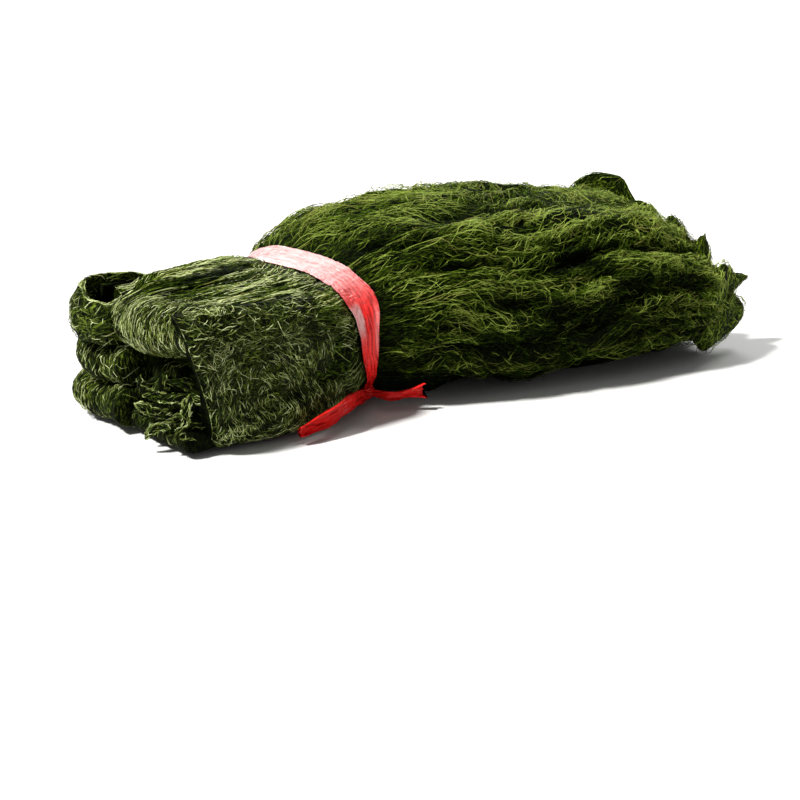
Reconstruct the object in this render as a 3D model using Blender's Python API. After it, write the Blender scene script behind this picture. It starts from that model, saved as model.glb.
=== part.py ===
"""A hank of dried green seaweed: long felted fibres folded over at one end, loose and ragged at the other,
and held by one red plastic film ribbon that is knotted low on the front side.

Metres, +Z up. +X runs from the folded end to the loose end, -Y is the front side, and it lies on z = 0.
"""

import math

import bmesh
import bpy
import numpy as np

# ---- driving dimensions, in metres ---------------------------------------------------------------

FOLDED_WIDTH = 0.122  # across the folded end
FOLDED_HEIGHT = 0.081  # of the folded end
WAIST_X = 0.130  # where the ribbon goes round
WAIST_HEIGHT = 0.083  # top of the hank under the ribbon
WAIST_SLANT = 0.0155  # how far the ribbon strays along x each way: towards the folded end at the back
WAIST_REACH = (0.060, 0.105)  # how far from the waist the slant fades out, on the folded and the loose side
LOOSE_WIDTH = 0.176  # widest place of the loose end
LOOSE_HEIGHT = 0.108  # highest place of the loose end
CORE_START = 0.018  # the folded layers stand out from the core by this much
CORE_END = 0.399  # end of the core, inside the ragged locks of the loose end

# The core's cross-sections along x: half width, top, bottom, side shift, squareness and lean. Lean makes
# the back side higher than the front. Where the hank rests, the bottom is below the floor, and is cut flat.
SECTION_NAMES = ("x", "half_width", "top", "bottom", "shift", "squareness", "lean")
SECTIONS = (
    (CORE_START, FOLDED_WIDTH / 2 - 0.004, FOLDED_HEIGHT, -0.002, 0.002, 4.4, 0.00),
    (0.065, FOLDED_WIDTH / 2 - 0.003, FOLDED_HEIGHT + 0.002, -0.002, 0.003, 4.2, 0.00),
    (0.108, FOLDED_WIDTH / 2 - 0.001, WAIST_HEIGHT + 0.002, 0.001, 0.005, 3.2, 0.00),
    (WAIST_X, 0.0545, WAIST_HEIGHT, 0.0055, 0.0105, 2.7, 0.00),
    (0.150, 0.066, WAIST_HEIGHT + 0.011, 0.001, 0.010, 2.5, 0.02),
    (0.176, 0.079, 0.104, -0.002, 0.010, 2.5, 0.04),
    (0.215, 0.085, LOOSE_HEIGHT, -0.003, 0.004, 2.5, 0.04),
    (0.290, LOOSE_WIDTH / 2, LOOSE_HEIGHT - 0.004, -0.003, -0.006, 2.5, 0.04),
    (0.340, LOOSE_WIDTH / 2, LOOSE_HEIGHT - 0.011, -0.003, -0.012, 2.5, 0.06),
    (0.372, 0.080, 0.087, -0.002, -0.016, 2.4, 0.18),
    (0.388, 0.066, 0.074, 0.006, -0.019, 2.3, 0.20),
    (CORE_END, 0.042, 0.057, 0.018, -0.020, 2.2, 0.20),
)
CORE_CROWN = 0.006  # how far the middle of its end stands out
HANK_MIDDLE = (-0.004, 0.045)  # y and z of the line that the flattened locks turn their broad sides to
AROUND = 44  # points round the core
LOCK_HEIGHT = 0.0058  # relief of the locks of fibre on the loose half
STRAND_HEIGHT = 0.0010  # relief of the strands on the folded half

FELT = 0.0072  # thickness of the felted layers down each side
POCKET_WALL = 0.0042
ROLL_NOSE_X = -0.003  # furthest reach of the top layers, which are rolled down over the end
FOLD_ROOT_X = 0.032  # where the folds end inside the core
FOLDS = {  # nose x, top, bottom, from y, to y, how far the nose draws back at the corner, steps
    "upper_lobe": (-0.005, 0.0495, 0.0275, -0.0060, 0.0650, 0.006, 11),
    "lower_lobe": (-0.006, 0.0255, 0.0035, 0.0010, 0.0660, 0.006, 11),
    "upper_curl": (0.005, 0.0500, 0.0370, -0.0440, -0.0080, 0.003, 7),
    "middle_curl": (0.002, 0.0330, 0.0190, -0.0400, 0.0030, 0.003, 7),
    "lower_curl": (0.003, 0.0160, 0.0030, -0.0535, 0.0040, 0.003, 7),
    "front_curl": (0.010, 0.0345, 0.0175, -0.0560, -0.0320, 0.003, 7),
}
WRAPS = {  # side, furthest y, free edge's x low down and high up, top
    "front_wrap": (-1, 0.0605, 0.017, -0.002, 0.0795),
    "back_wrap": (1, 0.0660, 0.010, 0.012, 0.0770),
}
WRAP_LOW = 0.0035  # lower edge of the layers down each side
WRAP_END_X = WAIST_X - 0.024  # where they have sunk into the core, short of the ribbon

LYING_LOCKS = 10
END_ROOT_X = 0.364  # where the end locks start, inside the core
END_LOCKS = (  # how far out from the middle of the end, how many, and their width
    (1.0, 11, 0.040),
    (0.60, 6, 0.040),
    (0.16, 2, 0.036),
)
TUFTS = (  # x, y, z, lean along x, rise, width, turn of the broad side from x
    (0.3895, 0.027, 0.074, 0.013, 0.024, 0.054, math.radians(-40)),
    (0.384, -0.076, 0.034, 0.038, 0.012, 0.028, math.radians(60)),
    (0.388, -0.008, 0.070, 0.016, 0.014, 0.034, math.radians(-40)),
)

RIBBON_WIDTH = 0.021  # film width where it lies flat, over the top
RIBBON_NARROW = 0.0065  # gathered width beside the knot
RIBBON_THICK = 0.0009  # crumpled film, two or three layers
RIBBON_GAP = 0.0005  # clearance between the film and the seaweed
KNOT_ANGLE = math.radians(226)  # round the waist, low on the front side
KNOT_RADIUS = 0.0041
LEFT_TAIL = ((0.112, -0.0575, 0.0085), (0.088, -0.0660, 0.0070), (0.063, -0.0670, 0.0065))
LEFT_TAIL_WIDTHS = (0.005, 0.0095, 0.0080, 0.0035)
RIGHT_TAIL = ((0.141, -0.0480, 0.0095), (0.150, -0.0520, 0.0095), (0.163, -0.0570, 0.0115))
RIGHT_TAIL_WIDTHS = (0.005, 0.0065, 0.0055, 0.0100)

SEAWEED_GREEN = (0.035, 0.052, 0.012, 1.0)
SEAWEED_ROUGHNESS = 0.75
RIBBON_RED = (0.72, 0.035, 0.030, 1.0)
RIBBON_ROUGHNESS = 0.3


# ---- small mathematics ---------------------------------------------------------------------------


def smooth_through(at, places, values):
    """A smooth curve through places and values, read at at: cubic pieces with averaged slopes."""
    places, values = np.asarray(places, float), np.asarray(values, float)
    slopes = np.gradient(values, places)
    at = np.clip(np.asarray(at, float), places[0], places[-1])
    i = np.clip(np.searchsorted(places, at, side="right") - 1, 0, len(places) - 2)
    span = places[i + 1] - places[i]
    t = (at - places[i]) / span
    rise = values[i + 1] - values[i]
    bend_in = slopes[i] * span - rise
    bend_out = rise - slopes[i + 1] * span
    return values[i] + rise * t + t * (1 - t) * (bend_in * (1 - t) + bend_out * t)


def step_between(low, high, value):
    """0 below low, 1 above high, and a smooth rise between them."""
    t = np.clip((value - low) / (high - low), 0, 1)
    return t * t * (3 - 2 * t)


def section_at(x):
    """The core's cross-section values at x, by name."""
    table = np.array(SECTIONS)
    return {
        name: float(smooth_through(x, table[:, 0], table[:, k]))
        for k, name in enumerate(SECTION_NAMES)
        if k
    }


def lock_relief(x, angle):
    """How far the locks of fibre stand out of the core: rounded ridges with sharp grooves between them."""
    loose = step_between(WAIST_X + 0.014, WAIST_X + 0.06, x)
    folded = 1 - step_between(WAIST_X - 0.05, WAIST_X - 0.014, x)
    height = LOCK_HEIGHT * loose + STRAND_HEIGHT * folded
    wander = 0.30 * math.sin(x / 0.052) + 0.18 * math.sin(x / 0.023 + 1.0)
    broad = 2 * np.abs(np.cos(4 * angle + 1.3 * wander + 0.8)) ** 0.6 - 1
    narrow = np.cos(13 * angle - 2.7 * wander + 2.0)
    return height * (0.7 * broad + 0.3 * narrow)


def slant_at(x, angles):
    """How far along x the hank is dragged with the slanted ribbon."""
    folded, loose = WAIST_REACH
    near = 1 - step_between(0.0, loose if x > WAIST_X else folded, abs(x - WAIST_X))
    return -WAIST_SLANT * near * (0.45 + np.cos(angles - math.radians(52)))


def core_ring(x, angles, lift=0.0):
    """The core's outline at x as points, pushed outwards by lift."""
    s = section_at(x)
    middle, half_height = (s["top"] + s["bottom"]) / 2, (s["top"] - s["bottom"]) / 2
    cos, sin = np.cos(angles), np.sin(angles)
    across = np.sign(cos) * np.abs(cos) ** (2 / s["squareness"])
    upward = np.sign(sin) * np.abs(sin) ** (2 / s["squareness"])
    out = np.stack([across / s["half_width"], upward / half_height], axis=1)
    out /= np.linalg.norm(out, axis=1, keepdims=True)
    reach = lock_relief(x, angles) + lift
    y = s["shift"] + s["half_width"] * across + out[:, 0] * reach
    z = middle + half_height * upward * (1 + s["lean"] * across) + out[:, 1] * reach
    return np.stack([x + slant_at(x, angles), y, z], axis=1)


# ---- mesh building -------------------------------------------------------------------------------


def material_of(name, colour, roughness):
    """The material of that name, made the first time that it is asked for."""
    material = bpy.data.materials.get(name)
    if material is None:
        material = bpy.data.materials.new(name)
        material.use_nodes = True
        shader = material.node_tree.nodes["Principled BSDF"]
        shader.inputs["Base Color"].default_value = colour
        shader.inputs["Roughness"].default_value = roughness
    return material


def new_object(name, shape, material):
    """An object in the scene from a bmesh, which is used up."""
    mesh = bpy.data.meshes.new(name)
    bmesh.ops.recalc_face_normals(shape, faces=shape.faces)
    bmesh.ops.triangulate(shape, faces=shape.faces)
    shape.to_mesh(mesh)
    shape.free()
    mesh.materials.append(material)
    made = bpy.data.objects.new(name, mesh)
    bpy.context.scene.collection.objects.link(made)
    return made


def seaweed(name, shape):
    """A piece of the hank."""
    return new_object(name, shape, material_of("dried_seaweed", SEAWEED_GREEN, SEAWEED_ROUGHNESS))


def ribbon(name, shape):
    """A piece of the ribbon."""
    return new_object(name, shape, material_of("red_film", RIBBON_RED, RIBBON_ROUGHNESS))


def loft(rings, closed=False, flat_caps=False, crown=0.0):
    """A closed body through rings of points.

    Its caps are fans, or strips across for a thin sheet. The last fan's middle stands out by crown along x.
    """
    made = bmesh.new()
    rows = [[made.verts.new(p) for p in ring] for ring in rings]
    count = len(rows[0])
    for a, b in zip(rows, rows[1:] + rows[:1] if closed else rows[1:]):
        for i in range(count):
            j = (i + 1) % count
            made.faces.new((a[i], a[j], b[j], b[i]))
    for row, out in () if closed else ((rows[0], 0.0), (rows[-1], crown)):
        if flat_caps:
            for i in range(count // 2 - 1):
                made.faces.new((row[i], row[i + 1], row[count - 2 - i], row[count - 1 - i]))
        else:
            middle = made.verts.new(np.mean([v.co for v in row], axis=0) + (out, 0, 0))
            for i in range(count):
                made.faces.new((row[i], row[(i + 1) % count], middle))
    return made


def turned_edge(nose, top, bottom, back, steps):
    """The outline in (x, z) of layers that turn back on themselves: two flat sides and a round nose."""
    radius = (top - bottom) / 2
    turn = np.linspace(math.radians(84), math.radians(-84), steps)
    bend = [(nose + radius - radius * math.cos(t), bottom + radius + radius * math.sin(t)) for t in turn]
    return [(back, top), *bend, (back, bottom)]


# ---- the seaweed ---------------------------------------------------------------------------------


def ribbon_lines():
    """Places along x where the core and the ribbon share points, so that their facets run side by side."""
    return WAIST_X + RIBBON_WIDTH * np.array([-0.5, -0.25, 0.0, 0.25, 0.5])


def core():
    """The body of the hank, from behind the folds to the loose end."""
    lines = ribbon_lines()
    left = np.linspace(CORE_START, lines[0], 11)[:-1]
    right = np.linspace(lines[-1], CORE_END - 0.020, 24)[1:]
    tip = CORE_END - np.array([0.012, 0.006, 0.0])
    angles = np.arange(AROUND) * 2 * math.pi / AROUND
    rings = [core_ring(x, angles) for x in [*left, *lines, *right, *tip]]
    return seaweed("core", loft(rings, crown=CORE_CROWN))


def top_roll():
    """The top layers rolled down over the end: a long bulge between the pocket and the front layer."""
    rings = []
    for share in np.linspace(0, 1, 14):
        y = -0.0545 + 0.0805 * share
        nose = ROLL_NOSE_X + 0.0016 * math.sin(9 * share) + 0.003 * (1 - share) ** 3
        low = 0.056 - 0.005 * step_between(0.0, 0.4, share) + 0.0012 * math.sin(7 * share)
        high = 0.0795 + 0.0010 * math.sin(6 * share + 1)
        rings.append([(x, y, z) for x, z in turned_edge(nose, high, low, FOLD_ROOT_X, 9)])
    return seaweed("top_roll", loft(rings))


def fold(name, nose, top, bottom, start, end, corner, steps):
    """Layers that turn back on themselves between two places across the hank, as a lumpy solid.

    The nose draws back by corner at its end, where the layers turn the corner of the hank.
    """
    rings = []
    for share in 0.5 - 0.5 * np.cos(np.linspace(0, math.pi, steps)):
        y = start + (end - start) * share
        swell = 0.0014 * math.sin(6 * share + 90 * top)
        drift = 0.0012 * math.sin(8 * share + 50 * bottom)
        tuck = 0.0035 * abs(2 * share - 1) ** 8
        reach = nose - swell + tuck + corner * (max(share - 0.62, 0) / 0.38) ** 2
        high = top + drift + 0.4 * swell - tuck
        low = bottom + drift - 0.4 * swell + tuck
        rings.append([(x, y, z) for x, z in turned_edge(reach, high, low, FOLD_ROOT_X, 7)])
    return seaweed(name, loft(rings))


def pocket():
    """The back corner of the top layer, which turns round upright and leaves a pocket open to the top."""
    centre, reach, depth = (0.008, 0.0385), 0.0175, 0.0215
    turn = np.linspace(math.radians(80), math.radians(282), 12)
    bend = [(centre[0] + reach * math.cos(t), centre[1] + depth * math.sin(t)) for t in turn]
    path = np.array([(0.048, 0.0500), (0.030, 0.0545), *bend, (0.034, 0.016)])
    ahead = np.gradient(path, axis=0)
    ahead /= np.linalg.norm(ahead, axis=1, keepdims=True)
    inner = path + POCKET_WALL * np.stack([-ahead[:, 1], ahead[:, 0]], axis=1)
    rings = []
    for share, (x, y), (inner_x, inner_y) in zip(np.linspace(0, 1, len(path)), path, inner):
        rim = 0.0785 + 0.0040 * step_between(0.0, 0.12, share) - 0.0045 * step_between(0.30, 0.75, share)
        heights = np.linspace(0.047, rim, 3)
        rings.append([(x, y, z) for z in heights] + [(inner_x, inner_y, z) for z in heights[::-1]])
    return seaweed("pocket", loft(rings, flat_caps=True))


def side_wrap(name, side, furthest, edge_low, edge_high, high):
    """The outer layers down one side, from their free edge to where they sink into the core."""
    up = np.linspace(0, 1, 9)
    edge = edge_low + (edge_high - edge_low) * (0.3 * up + 0.7 * step_between(0, 1, up))
    z = WRAP_LOW + (high - WRAP_LOW) * up
    rings = []
    for along in np.linspace(0, 1, 10):
        x = edge + (WRAP_END_X - edge) * along
        inward = 0.010 * np.abs(2 * up - 1) ** 6 + 0.0085 * along**4 + 0.0010 * np.sin(70 * x + 90 * z)
        outer_y, inner_y = side * (furthest - inward), side * (furthest - inward - FELT)
        rings.append(list(zip(x, outer_y, z)) + list(zip(x, inner_y, z))[::-1])
    return seaweed(name, loft(rings, flat_caps=True))


def flat_lock(name, points, widths, thickness, sides=6, thinning=0.0, facing=None):
    """A flattened lock of fibres along points on the hank, with its broad side to the hank's middle line.

    thinning is the share of the thickness that is lost towards the last point. facing, where given, is a
    direction that the broad side turns to instead.
    """
    points = np.asarray(points, float)
    ahead = np.gradient(points, axis=0)
    ahead /= np.linalg.norm(ahead, axis=1, keepdims=True)
    outward = points * (0, 1, 1) - (0, *HANK_MIDDLE)
    rings = []
    for p, d, out, width in zip(points, ahead, outward, widths):
        across = np.cross(d, out if facing is None else facing)
        across /= np.linalg.norm(across)
        up = np.cross(across, d)
        turn = np.arange(sides) * 2 * math.pi / sides
        thick = min(thickness, width * 0.7) * (1 - thinning * len(rings) / (len(points) - 1))
        rings.append(p + np.outer(np.cos(turn) * width / 2, across) + np.outer(np.sin(turn) * thick / 2, up))
    return seaweed(name, loft(rings))


def lying_locks():
    """Locks of fibre that fan out from the ribbon and lie along the loose half."""
    made = []
    rng = np.random.default_rng(11)
    for n in range(LYING_LOCKS):
        angle = math.radians(-28 + 236 * (n + 0.6 * rng.random()) / LYING_LOCKS)
        start, length = 0.165 + 0.10 * rng.random(), 0.10 + 0.04 * rng.random()
        swing, phase, width = 0.09 + 0.09 * rng.random(), 6 * rng.random(), 0.012 + 0.007 * rng.random()
        points, widths = [], []
        for share in np.linspace(0, 1, 8):
            x = start + length * share
            here = angle + swing * math.sin(4 * share + phase)
            lift = -0.0050 + 0.0058 * math.sin(math.pi * share) ** 0.7
            points.append(core_ring(x, np.array([here]), lift)[0])
            widths.append(width * (0.35 + 0.65 * math.sin(math.pi * share) ** 0.8))
        made.append(flat_lock(f"lying_lock_{n}", points, widths, 0.0064, sides=5))
    return made


def end_locks():
    """The ragged end: broad locks of uneven length all over the core's end, the upper ones shorter."""
    made = []
    rng = np.random.default_rng(5)
    middle = np.array([END_ROOT_X, -0.016, 0.044])
    for outward, count, width in END_LOCKS:
        for n in range(count):
            angle = 2 * math.pi * (n + 0.4 * rng.random() + 0.3 * outward) / count
            upper = step_between(0.0, 0.9, math.sin(angle - 0.3)) * outward
            reach = 0.036 + 0.018 * rng.random() - 0.022 * upper
            flare, sag = 0.08 * (rng.random() - 0.3), 0.006 * rng.random() + 0.004 * upper
            root = core_ring(END_ROOT_X, np.array([angle]), -0.006)[0] - middle
            points, widths = [], []
            for share in np.linspace(0, 1, 5):
                spread = outward * (1 - (0.14 + 0.12 * upper) * share + flare * share**2)
                point = middle + root * spread
                point[0] += reach * share + 0.010 * (1 - outward)
                point[2] = max(point[2] - sag * share**2, 0.006 + 0.004 * share)
                points.append(point)
                widths.append(width * (0.85 + 0.3 * rng.random()) * (1.0 - 0.55 * share**2.5))
            name = f"end_lock_{count}_{n}"
            made.append(flat_lock(name, points, widths, 0.014, sides=7, thinning=0.65))
    return made


def tufts():
    """Leafy tufts that stand up from the loose end."""
    made = []
    for n, (x, y, z, lean_x, lean_z, size, turn) in enumerate(TUFTS):
        points = [
            (x + lean_x * share, y + 0.004 * math.sin(3 * share), z + lean_z * share)
            for share in np.linspace(0, 1, 6)
        ]
        widths = size * np.array([0.9, 1.0, 0.95, 0.85, 0.70, 0.45])
        facing = (-math.sin(turn), math.cos(turn), 0)
        made.append(flat_lock(f"tuft_{n}", points, widths, 0.011, sides=7, thinning=0.6, facing=facing))
    return made


# ---- the ribbon ----------------------------------------------------------------------------------


def ribbon_width_at(angle):
    """Full width over the top, gathered towards the knot, which sits low on the front side."""
    off_knot = abs((angle - KNOT_ANGLE + math.pi) % (2 * math.pi) - math.pi)
    return RIBBON_NARROW + (RIBBON_WIDTH - RIBBON_NARROW) * step_between(0.10, 1.35, off_knot)


def ribbon_loop():
    """The film round the waist, with a fixed clearance to the seaweed under it."""
    rings = []
    for n in range(AROUND):
        angle = 2 * math.pi * n / AROUND
        half = ribbon_width_at(angle) / 2
        inner, outer = [], []
        for k, share in enumerate((-1, -0.5, 0, 0.5, 1)):
            x = WAIST_X + half * share
            pleat = 0.0003 * (k % 2)
            inner.append(core_ring(x, np.array([angle]), RIBBON_GAP)[0])
            outer.append(core_ring(x, np.array([angle]), RIBBON_GAP + RIBBON_THICK + pleat)[0])
        rings.append(inner + outer[::-1])
    return ribbon("loop", loft(rings, closed=True))


def knot_centre():
    """Middle of the knot, which stands just clear of the seaweed."""
    return core_ring(WAIST_X, np.array([KNOT_ANGLE]), KNOT_RADIUS + 2 * RIBBON_GAP)[0]


def knot():
    """The knot: a small rounded lump."""
    turn = np.arange(10) * 2 * math.pi / 10
    rings = []
    for share in np.linspace(-1, 1, 7):
        wide = KNOT_RADIUS * math.sqrt(max(1 - share**2, 0.06))
        along = np.full(len(turn), KNOT_RADIUS * share)
        circle = np.stack([along, 0.8 * wide * np.cos(turn), wide * np.sin(turn)], axis=1)
        rings.append(knot_centre() + circle)
    return ribbon("knot", loft(rings))


def tail(name, route, widths):
    """A free end of the film, in crosswise creases, along a route from inside the knot to its cut edge."""
    route, rings = np.asarray([knot_centre(), *route]), []
    stations = np.linspace(0, 1, len(route))
    for i, share in enumerate(np.linspace(0, 1, 9)):
        x, y, z = (smooth_through(share, stations, route[:, k]) for k in range(3))
        half = smooth_through(share, (0, 0.3, 0.75, 1), widths) / 2
        turned = math.radians(64) + 0.5 * share
        face, back = [], []
        for side in (-1, -0.5, 0, 0.5, 1):
            crease = 0.0007 * (1 - abs(side)) * (-1) ** i
            dy, dz = math.cos(turned) * half * side, math.sin(turned) * half * side
            face.append((x, y + dy - crease - RIBBON_THICK * 0.6, z + dz))
            back.append((x, y + dy - crease + RIBBON_THICK * 0.6, z + dz))
        rings.append(face + back[::-1])
    return ribbon(name, loft(rings, flat_caps=True))


# ---- joining and placing -------------------------------------------------------------------------


def boolean(first, others, operation):
    """One Boolean of first with a collection of others, applied. The others are then removed."""
    group = bpy.data.collections.new(first.name + "_others")
    for other in others:
        bpy.context.scene.collection.objects.unlink(other)
        group.objects.link(other)
    bpy.context.scene.collection.children.link(group)
    change = first.modifiers.new(operation.lower(), "BOOLEAN")
    change.operation = operation
    change.operand_type = "COLLECTION"
    change.collection = group
    change.solver = "EXACT"
    bpy.context.view_layer.update()
    graph = bpy.context.evaluated_depsgraph_get()
    result = bpy.data.meshes.new_from_object(first.evaluated_get(graph))
    first.modifiers.clear()
    first.data = result
    for other in others:
        bpy.data.objects.remove(other)
    bpy.data.collections.remove(group)


def fused(name, pieces):
    """One solid from the pieces."""
    boolean(pieces[0], pieces[1:], "UNION")
    pieces[0].name = pieces[0].data.name = name
    return pieces[0]


def largest_body(made):
    """Drops loose scraps that a union leaves, and keeps the largest connected body."""
    shape = bmesh.new()
    shape.from_mesh(made.data)
    bmesh.ops.remove_doubles(shape, verts=shape.verts, dist=0.000002)
    left, bodies = set(shape.verts), []
    while left:
        body, edge_of = set(), [left.pop()]
        while edge_of:
            vert = edge_of.pop()
            body.add(vert)
            near = {e.other_vert(vert) for e in vert.link_edges} & left
            left -= near
            edge_of.extend(near)
        bodies.append(body)
    scraps = set(shape.verts) - max(bodies, key=len)
    bmesh.ops.delete(shape, geom=list(scraps), context="VERTS")
    bmesh.ops.triangulate(shape, faces=shape.faces)
    shape.to_mesh(made.data)
    shape.free()


def stand_on_floor(made):
    """Cuts the body flat at z = 0, where the hank rests."""
    ground = bmesh.new()
    bmesh.ops.create_cube(ground, size=1.0)
    bmesh.ops.translate(ground, verts=ground.verts, vec=(0, 0, -0.5))
    boolean(made, [seaweed("ground", ground)], "DIFFERENCE")


def centre_on_origin(objects):
    """Moves every mesh so that the whole stands on z = 0 with its box centred on the origin."""
    corners = np.concatenate([[v.co for v in o.data.vertices] for o in objects])
    low, high = corners.min(0), corners.max(0)
    move = -np.array([(low[0] + high[0]) / 2, (low[1] + high[1]) / 2, low[2]])
    for made in objects:
        for vert in made.data.vertices:
            vert.co = vert.co[:] + move


def hank():
    """The seaweed as one solid: the core with its folds, wraps and locks."""
    pieces = [core(), top_roll(), pocket()]
    pieces += [fold(name, *sizes) for name, sizes in FOLDS.items()]
    pieces += [side_wrap(name, *sizes) for name, sizes in WRAPS.items()]
    made = fused("seaweed_hank", [*pieces, *lying_locks(), *end_locks(), *tufts()])
    stand_on_floor(made)
    largest_body(made)
    return made


def tie():
    """The ribbon as one solid: the film round the waist, its knot and its two free ends."""
    left = tail("left_tail", LEFT_TAIL, LEFT_TAIL_WIDTHS)
    right = tail("right_tail", RIGHT_TAIL, RIGHT_TAIL_WIDTHS)
    made = fused("ribbon_tie", [ribbon_loop(), knot(), left, right])
    largest_body(made)
    return made


def main():
    for old in list(bpy.data.objects):
        bpy.data.objects.remove(old)
    centre_on_origin([hank(), tie()])


main()
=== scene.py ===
"""Looks of a hank of dried green seaweed that is folded at one end and tied with a red film ribbon.

All sizes are metres. The forms are worked out in the hank's own frame, where x = 0 is the folded end, and are
moved by HANK_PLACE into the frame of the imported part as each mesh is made.
"""

import logging
import math
from dataclasses import dataclass, field, replace
from enum import Enum, IntEnum
from typing import Optional, Sequence, Union

import bmesh
import bpy
import numpy as np
from mathutils import Matrix, Vector


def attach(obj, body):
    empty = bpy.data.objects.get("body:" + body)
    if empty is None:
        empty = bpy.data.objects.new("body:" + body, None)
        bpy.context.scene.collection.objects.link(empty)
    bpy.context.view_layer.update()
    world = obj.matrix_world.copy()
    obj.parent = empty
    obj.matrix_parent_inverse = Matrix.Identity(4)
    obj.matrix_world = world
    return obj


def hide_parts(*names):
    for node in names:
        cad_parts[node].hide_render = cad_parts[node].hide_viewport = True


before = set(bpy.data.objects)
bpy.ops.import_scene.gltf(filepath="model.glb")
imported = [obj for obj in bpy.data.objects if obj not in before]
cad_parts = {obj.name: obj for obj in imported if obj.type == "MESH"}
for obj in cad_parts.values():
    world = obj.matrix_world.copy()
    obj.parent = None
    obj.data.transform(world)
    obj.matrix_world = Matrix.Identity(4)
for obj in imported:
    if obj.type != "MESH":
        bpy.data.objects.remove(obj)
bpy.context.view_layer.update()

log = logging.getLogger("seaweed")

Array = np.ndarray
Material = bpy.types.Material
Object = bpy.types.Object
Colour = tuple[float, float, float, float]
Span = tuple[float, float]
Place = tuple[float, float, float]

HANK_PLACE = np.array([-0.2074530, 0.0048157, 0.0])
FLOOR_CLEARANCE = 0.0004

# ---- the hank's sizes ------------------------------------------------------------------------------

FOLDED_WIDTH = 0.122
FOLDED_HEIGHT = 0.081
WAIST_X = 0.130
WAIST_HEIGHT = 0.083
WAIST_SLANT = 0.0155
WAIST_REACH = (0.060, 0.105)
LOOSE_WIDTH = 0.176
LOOSE_HEIGHT = 0.108
CORE_START = 0.018
CORE_END = 0.399
SECTIONS = np.array(
    (  # x, half width, top, bottom, side shift, squareness, lean
        (CORE_START, FOLDED_WIDTH / 2 - 0.004, FOLDED_HEIGHT, -0.002, 0.002, 4.4, 0.00),
        (0.065, FOLDED_WIDTH / 2 - 0.003, FOLDED_HEIGHT + 0.002, -0.002, 0.003, 4.2, 0.00),
        (0.108, FOLDED_WIDTH / 2 - 0.001, WAIST_HEIGHT + 0.002, 0.001, 0.005, 3.2, 0.00),
        (WAIST_X, 0.0545, WAIST_HEIGHT, 0.0055, 0.0105, 2.7, 0.00),
        (0.150, 0.066, WAIST_HEIGHT + 0.011, 0.001, 0.010, 2.5, 0.02),
        (0.176, 0.079, 0.104, -0.002, 0.010, 2.5, 0.04),
        (0.215, 0.085, LOOSE_HEIGHT, -0.003, 0.004, 2.5, 0.04),
        (0.290, LOOSE_WIDTH / 2, LOOSE_HEIGHT - 0.004, -0.003, -0.006, 2.5, 0.04),
        (0.340, LOOSE_WIDTH / 2, LOOSE_HEIGHT - 0.011, -0.003, -0.012, 2.5, 0.06),
        (0.372, 0.080, 0.087, -0.002, -0.016, 2.4, 0.18),
        (0.388, 0.066, 0.074, 0.006, -0.019, 2.3, 0.20),
        (CORE_END, 0.042, 0.057, 0.018, -0.020, 2.2, 0.20),
    )
)
GIRTH_RADIUS = 0.075  # metres of surface for each radian round the hank
MIDDLE_LINE = (-0.004, 0.045)  # y and z that the flattened locks turn their broad sides to
LOOSE_FROM = (WAIST_X + 0.014, WAIST_X + 0.06)  # x over which the locks come loose past the ribbon
FOLDED_TO = (WAIST_X - 0.05, WAIST_X - 0.014)  # x over which the folded half's relief dies away
ENDLESS = (-1e9, 1e9)  # the span of a v that goes round and round


class Side(IntEnum):
    """The side of the hank that layers lie on, as the sign of y."""

    FRONT = -1
    BACK = 1


class Fold(Enum):
    """How layers turn back at the folded end."""

    ROLL = "rolled over the top"
    LOBE = "broad, at the back"
    CURL = "small and crumpled, at the front"


# ---- small mathematics -----------------------------------------------------------------------------


def smooth_through(at: Array, places: Array, values: Array) -> Array:
    """A smooth curve through places and values.

    Args:
        at: Where the curve is read.
        places: Rising positions of the known values.
        values: The known values.

    Returns:
        The curve's values at at, from cubic pieces with averaged slopes.
    """
    slopes = np.gradient(values, places)
    at = np.clip(at, places[0], places[-1])
    i = np.clip(np.searchsorted(places, at, side="right") - 1, 0, len(places) - 2)
    span = places[i + 1] - places[i]
    t = (at - places[i]) / span
    rise = values[i + 1] - values[i]
    bend_in = slopes[i] * span - rise
    bend_out = rise - slopes[i + 1] * span
    return values[i] + rise * t + t * (1 - t) * (bend_in * (1 - t) + bend_out * t)


def run_along(path: Array) -> Array:
    """Distance from a path's start to each of its points."""
    return np.concatenate([[0], np.cumsum(np.linalg.norm(np.diff(path, axis=0), axis=1))])


def grid(down: Array, across: Array) -> list[Array]:
    """Two runs of values as a grid: the first from row to row, the second along each row."""
    return np.meshgrid(down, across, indexing="ij")


def step_between(low: float, high: float, value: Array) -> Array:
    """0 below low, 1 above high, and a smooth rise between them."""
    t = np.clip((value - low) / (high - low), 0, 1)
    return t * t * (3 - 2 * t)


class Lattice:
    """Smooth noise between -1 and 1 that changes about once for each whole number, each way."""

    ROWS = 257  # after how many whole numbers the first coordinate repeats

    def __init__(self, seed: int, wrap: int = 251) -> None:
        """Draws the table.

        Args:
            seed: Fixes the pattern.
            wrap: After how many whole numbers the second coordinate repeats.
        """
        self.wrap = wrap
        self.table = np.random.default_rng(seed).uniform(-1, 1, (self.ROWS, wrap))

    def __call__(self, u: Array, v: Array) -> Array:
        """The noise at (u, v).

        Args:
            u: First coordinate.
            v: Second coordinate.

        Returns:
            The noise there.
        """
        u, v = np.broadcast_arrays(u, v)
        left, low = np.floor(u).astype(int), np.floor(v).astype(int)
        s, t = u - left, v - low
        s, t = s * s * (3 - 2 * s), t * t * (3 - 2 * t)
        left, right = left % self.ROWS, (left + 1) % self.ROWS
        low, high = low % self.wrap, (low + 1) % self.wrap
        near = self.table[left, low] * (1 - s) + self.table[right, low] * s
        far = self.table[left, high] * (1 - s) + self.table[right, high] * s
        return near * (1 - t) + far * t


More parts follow.
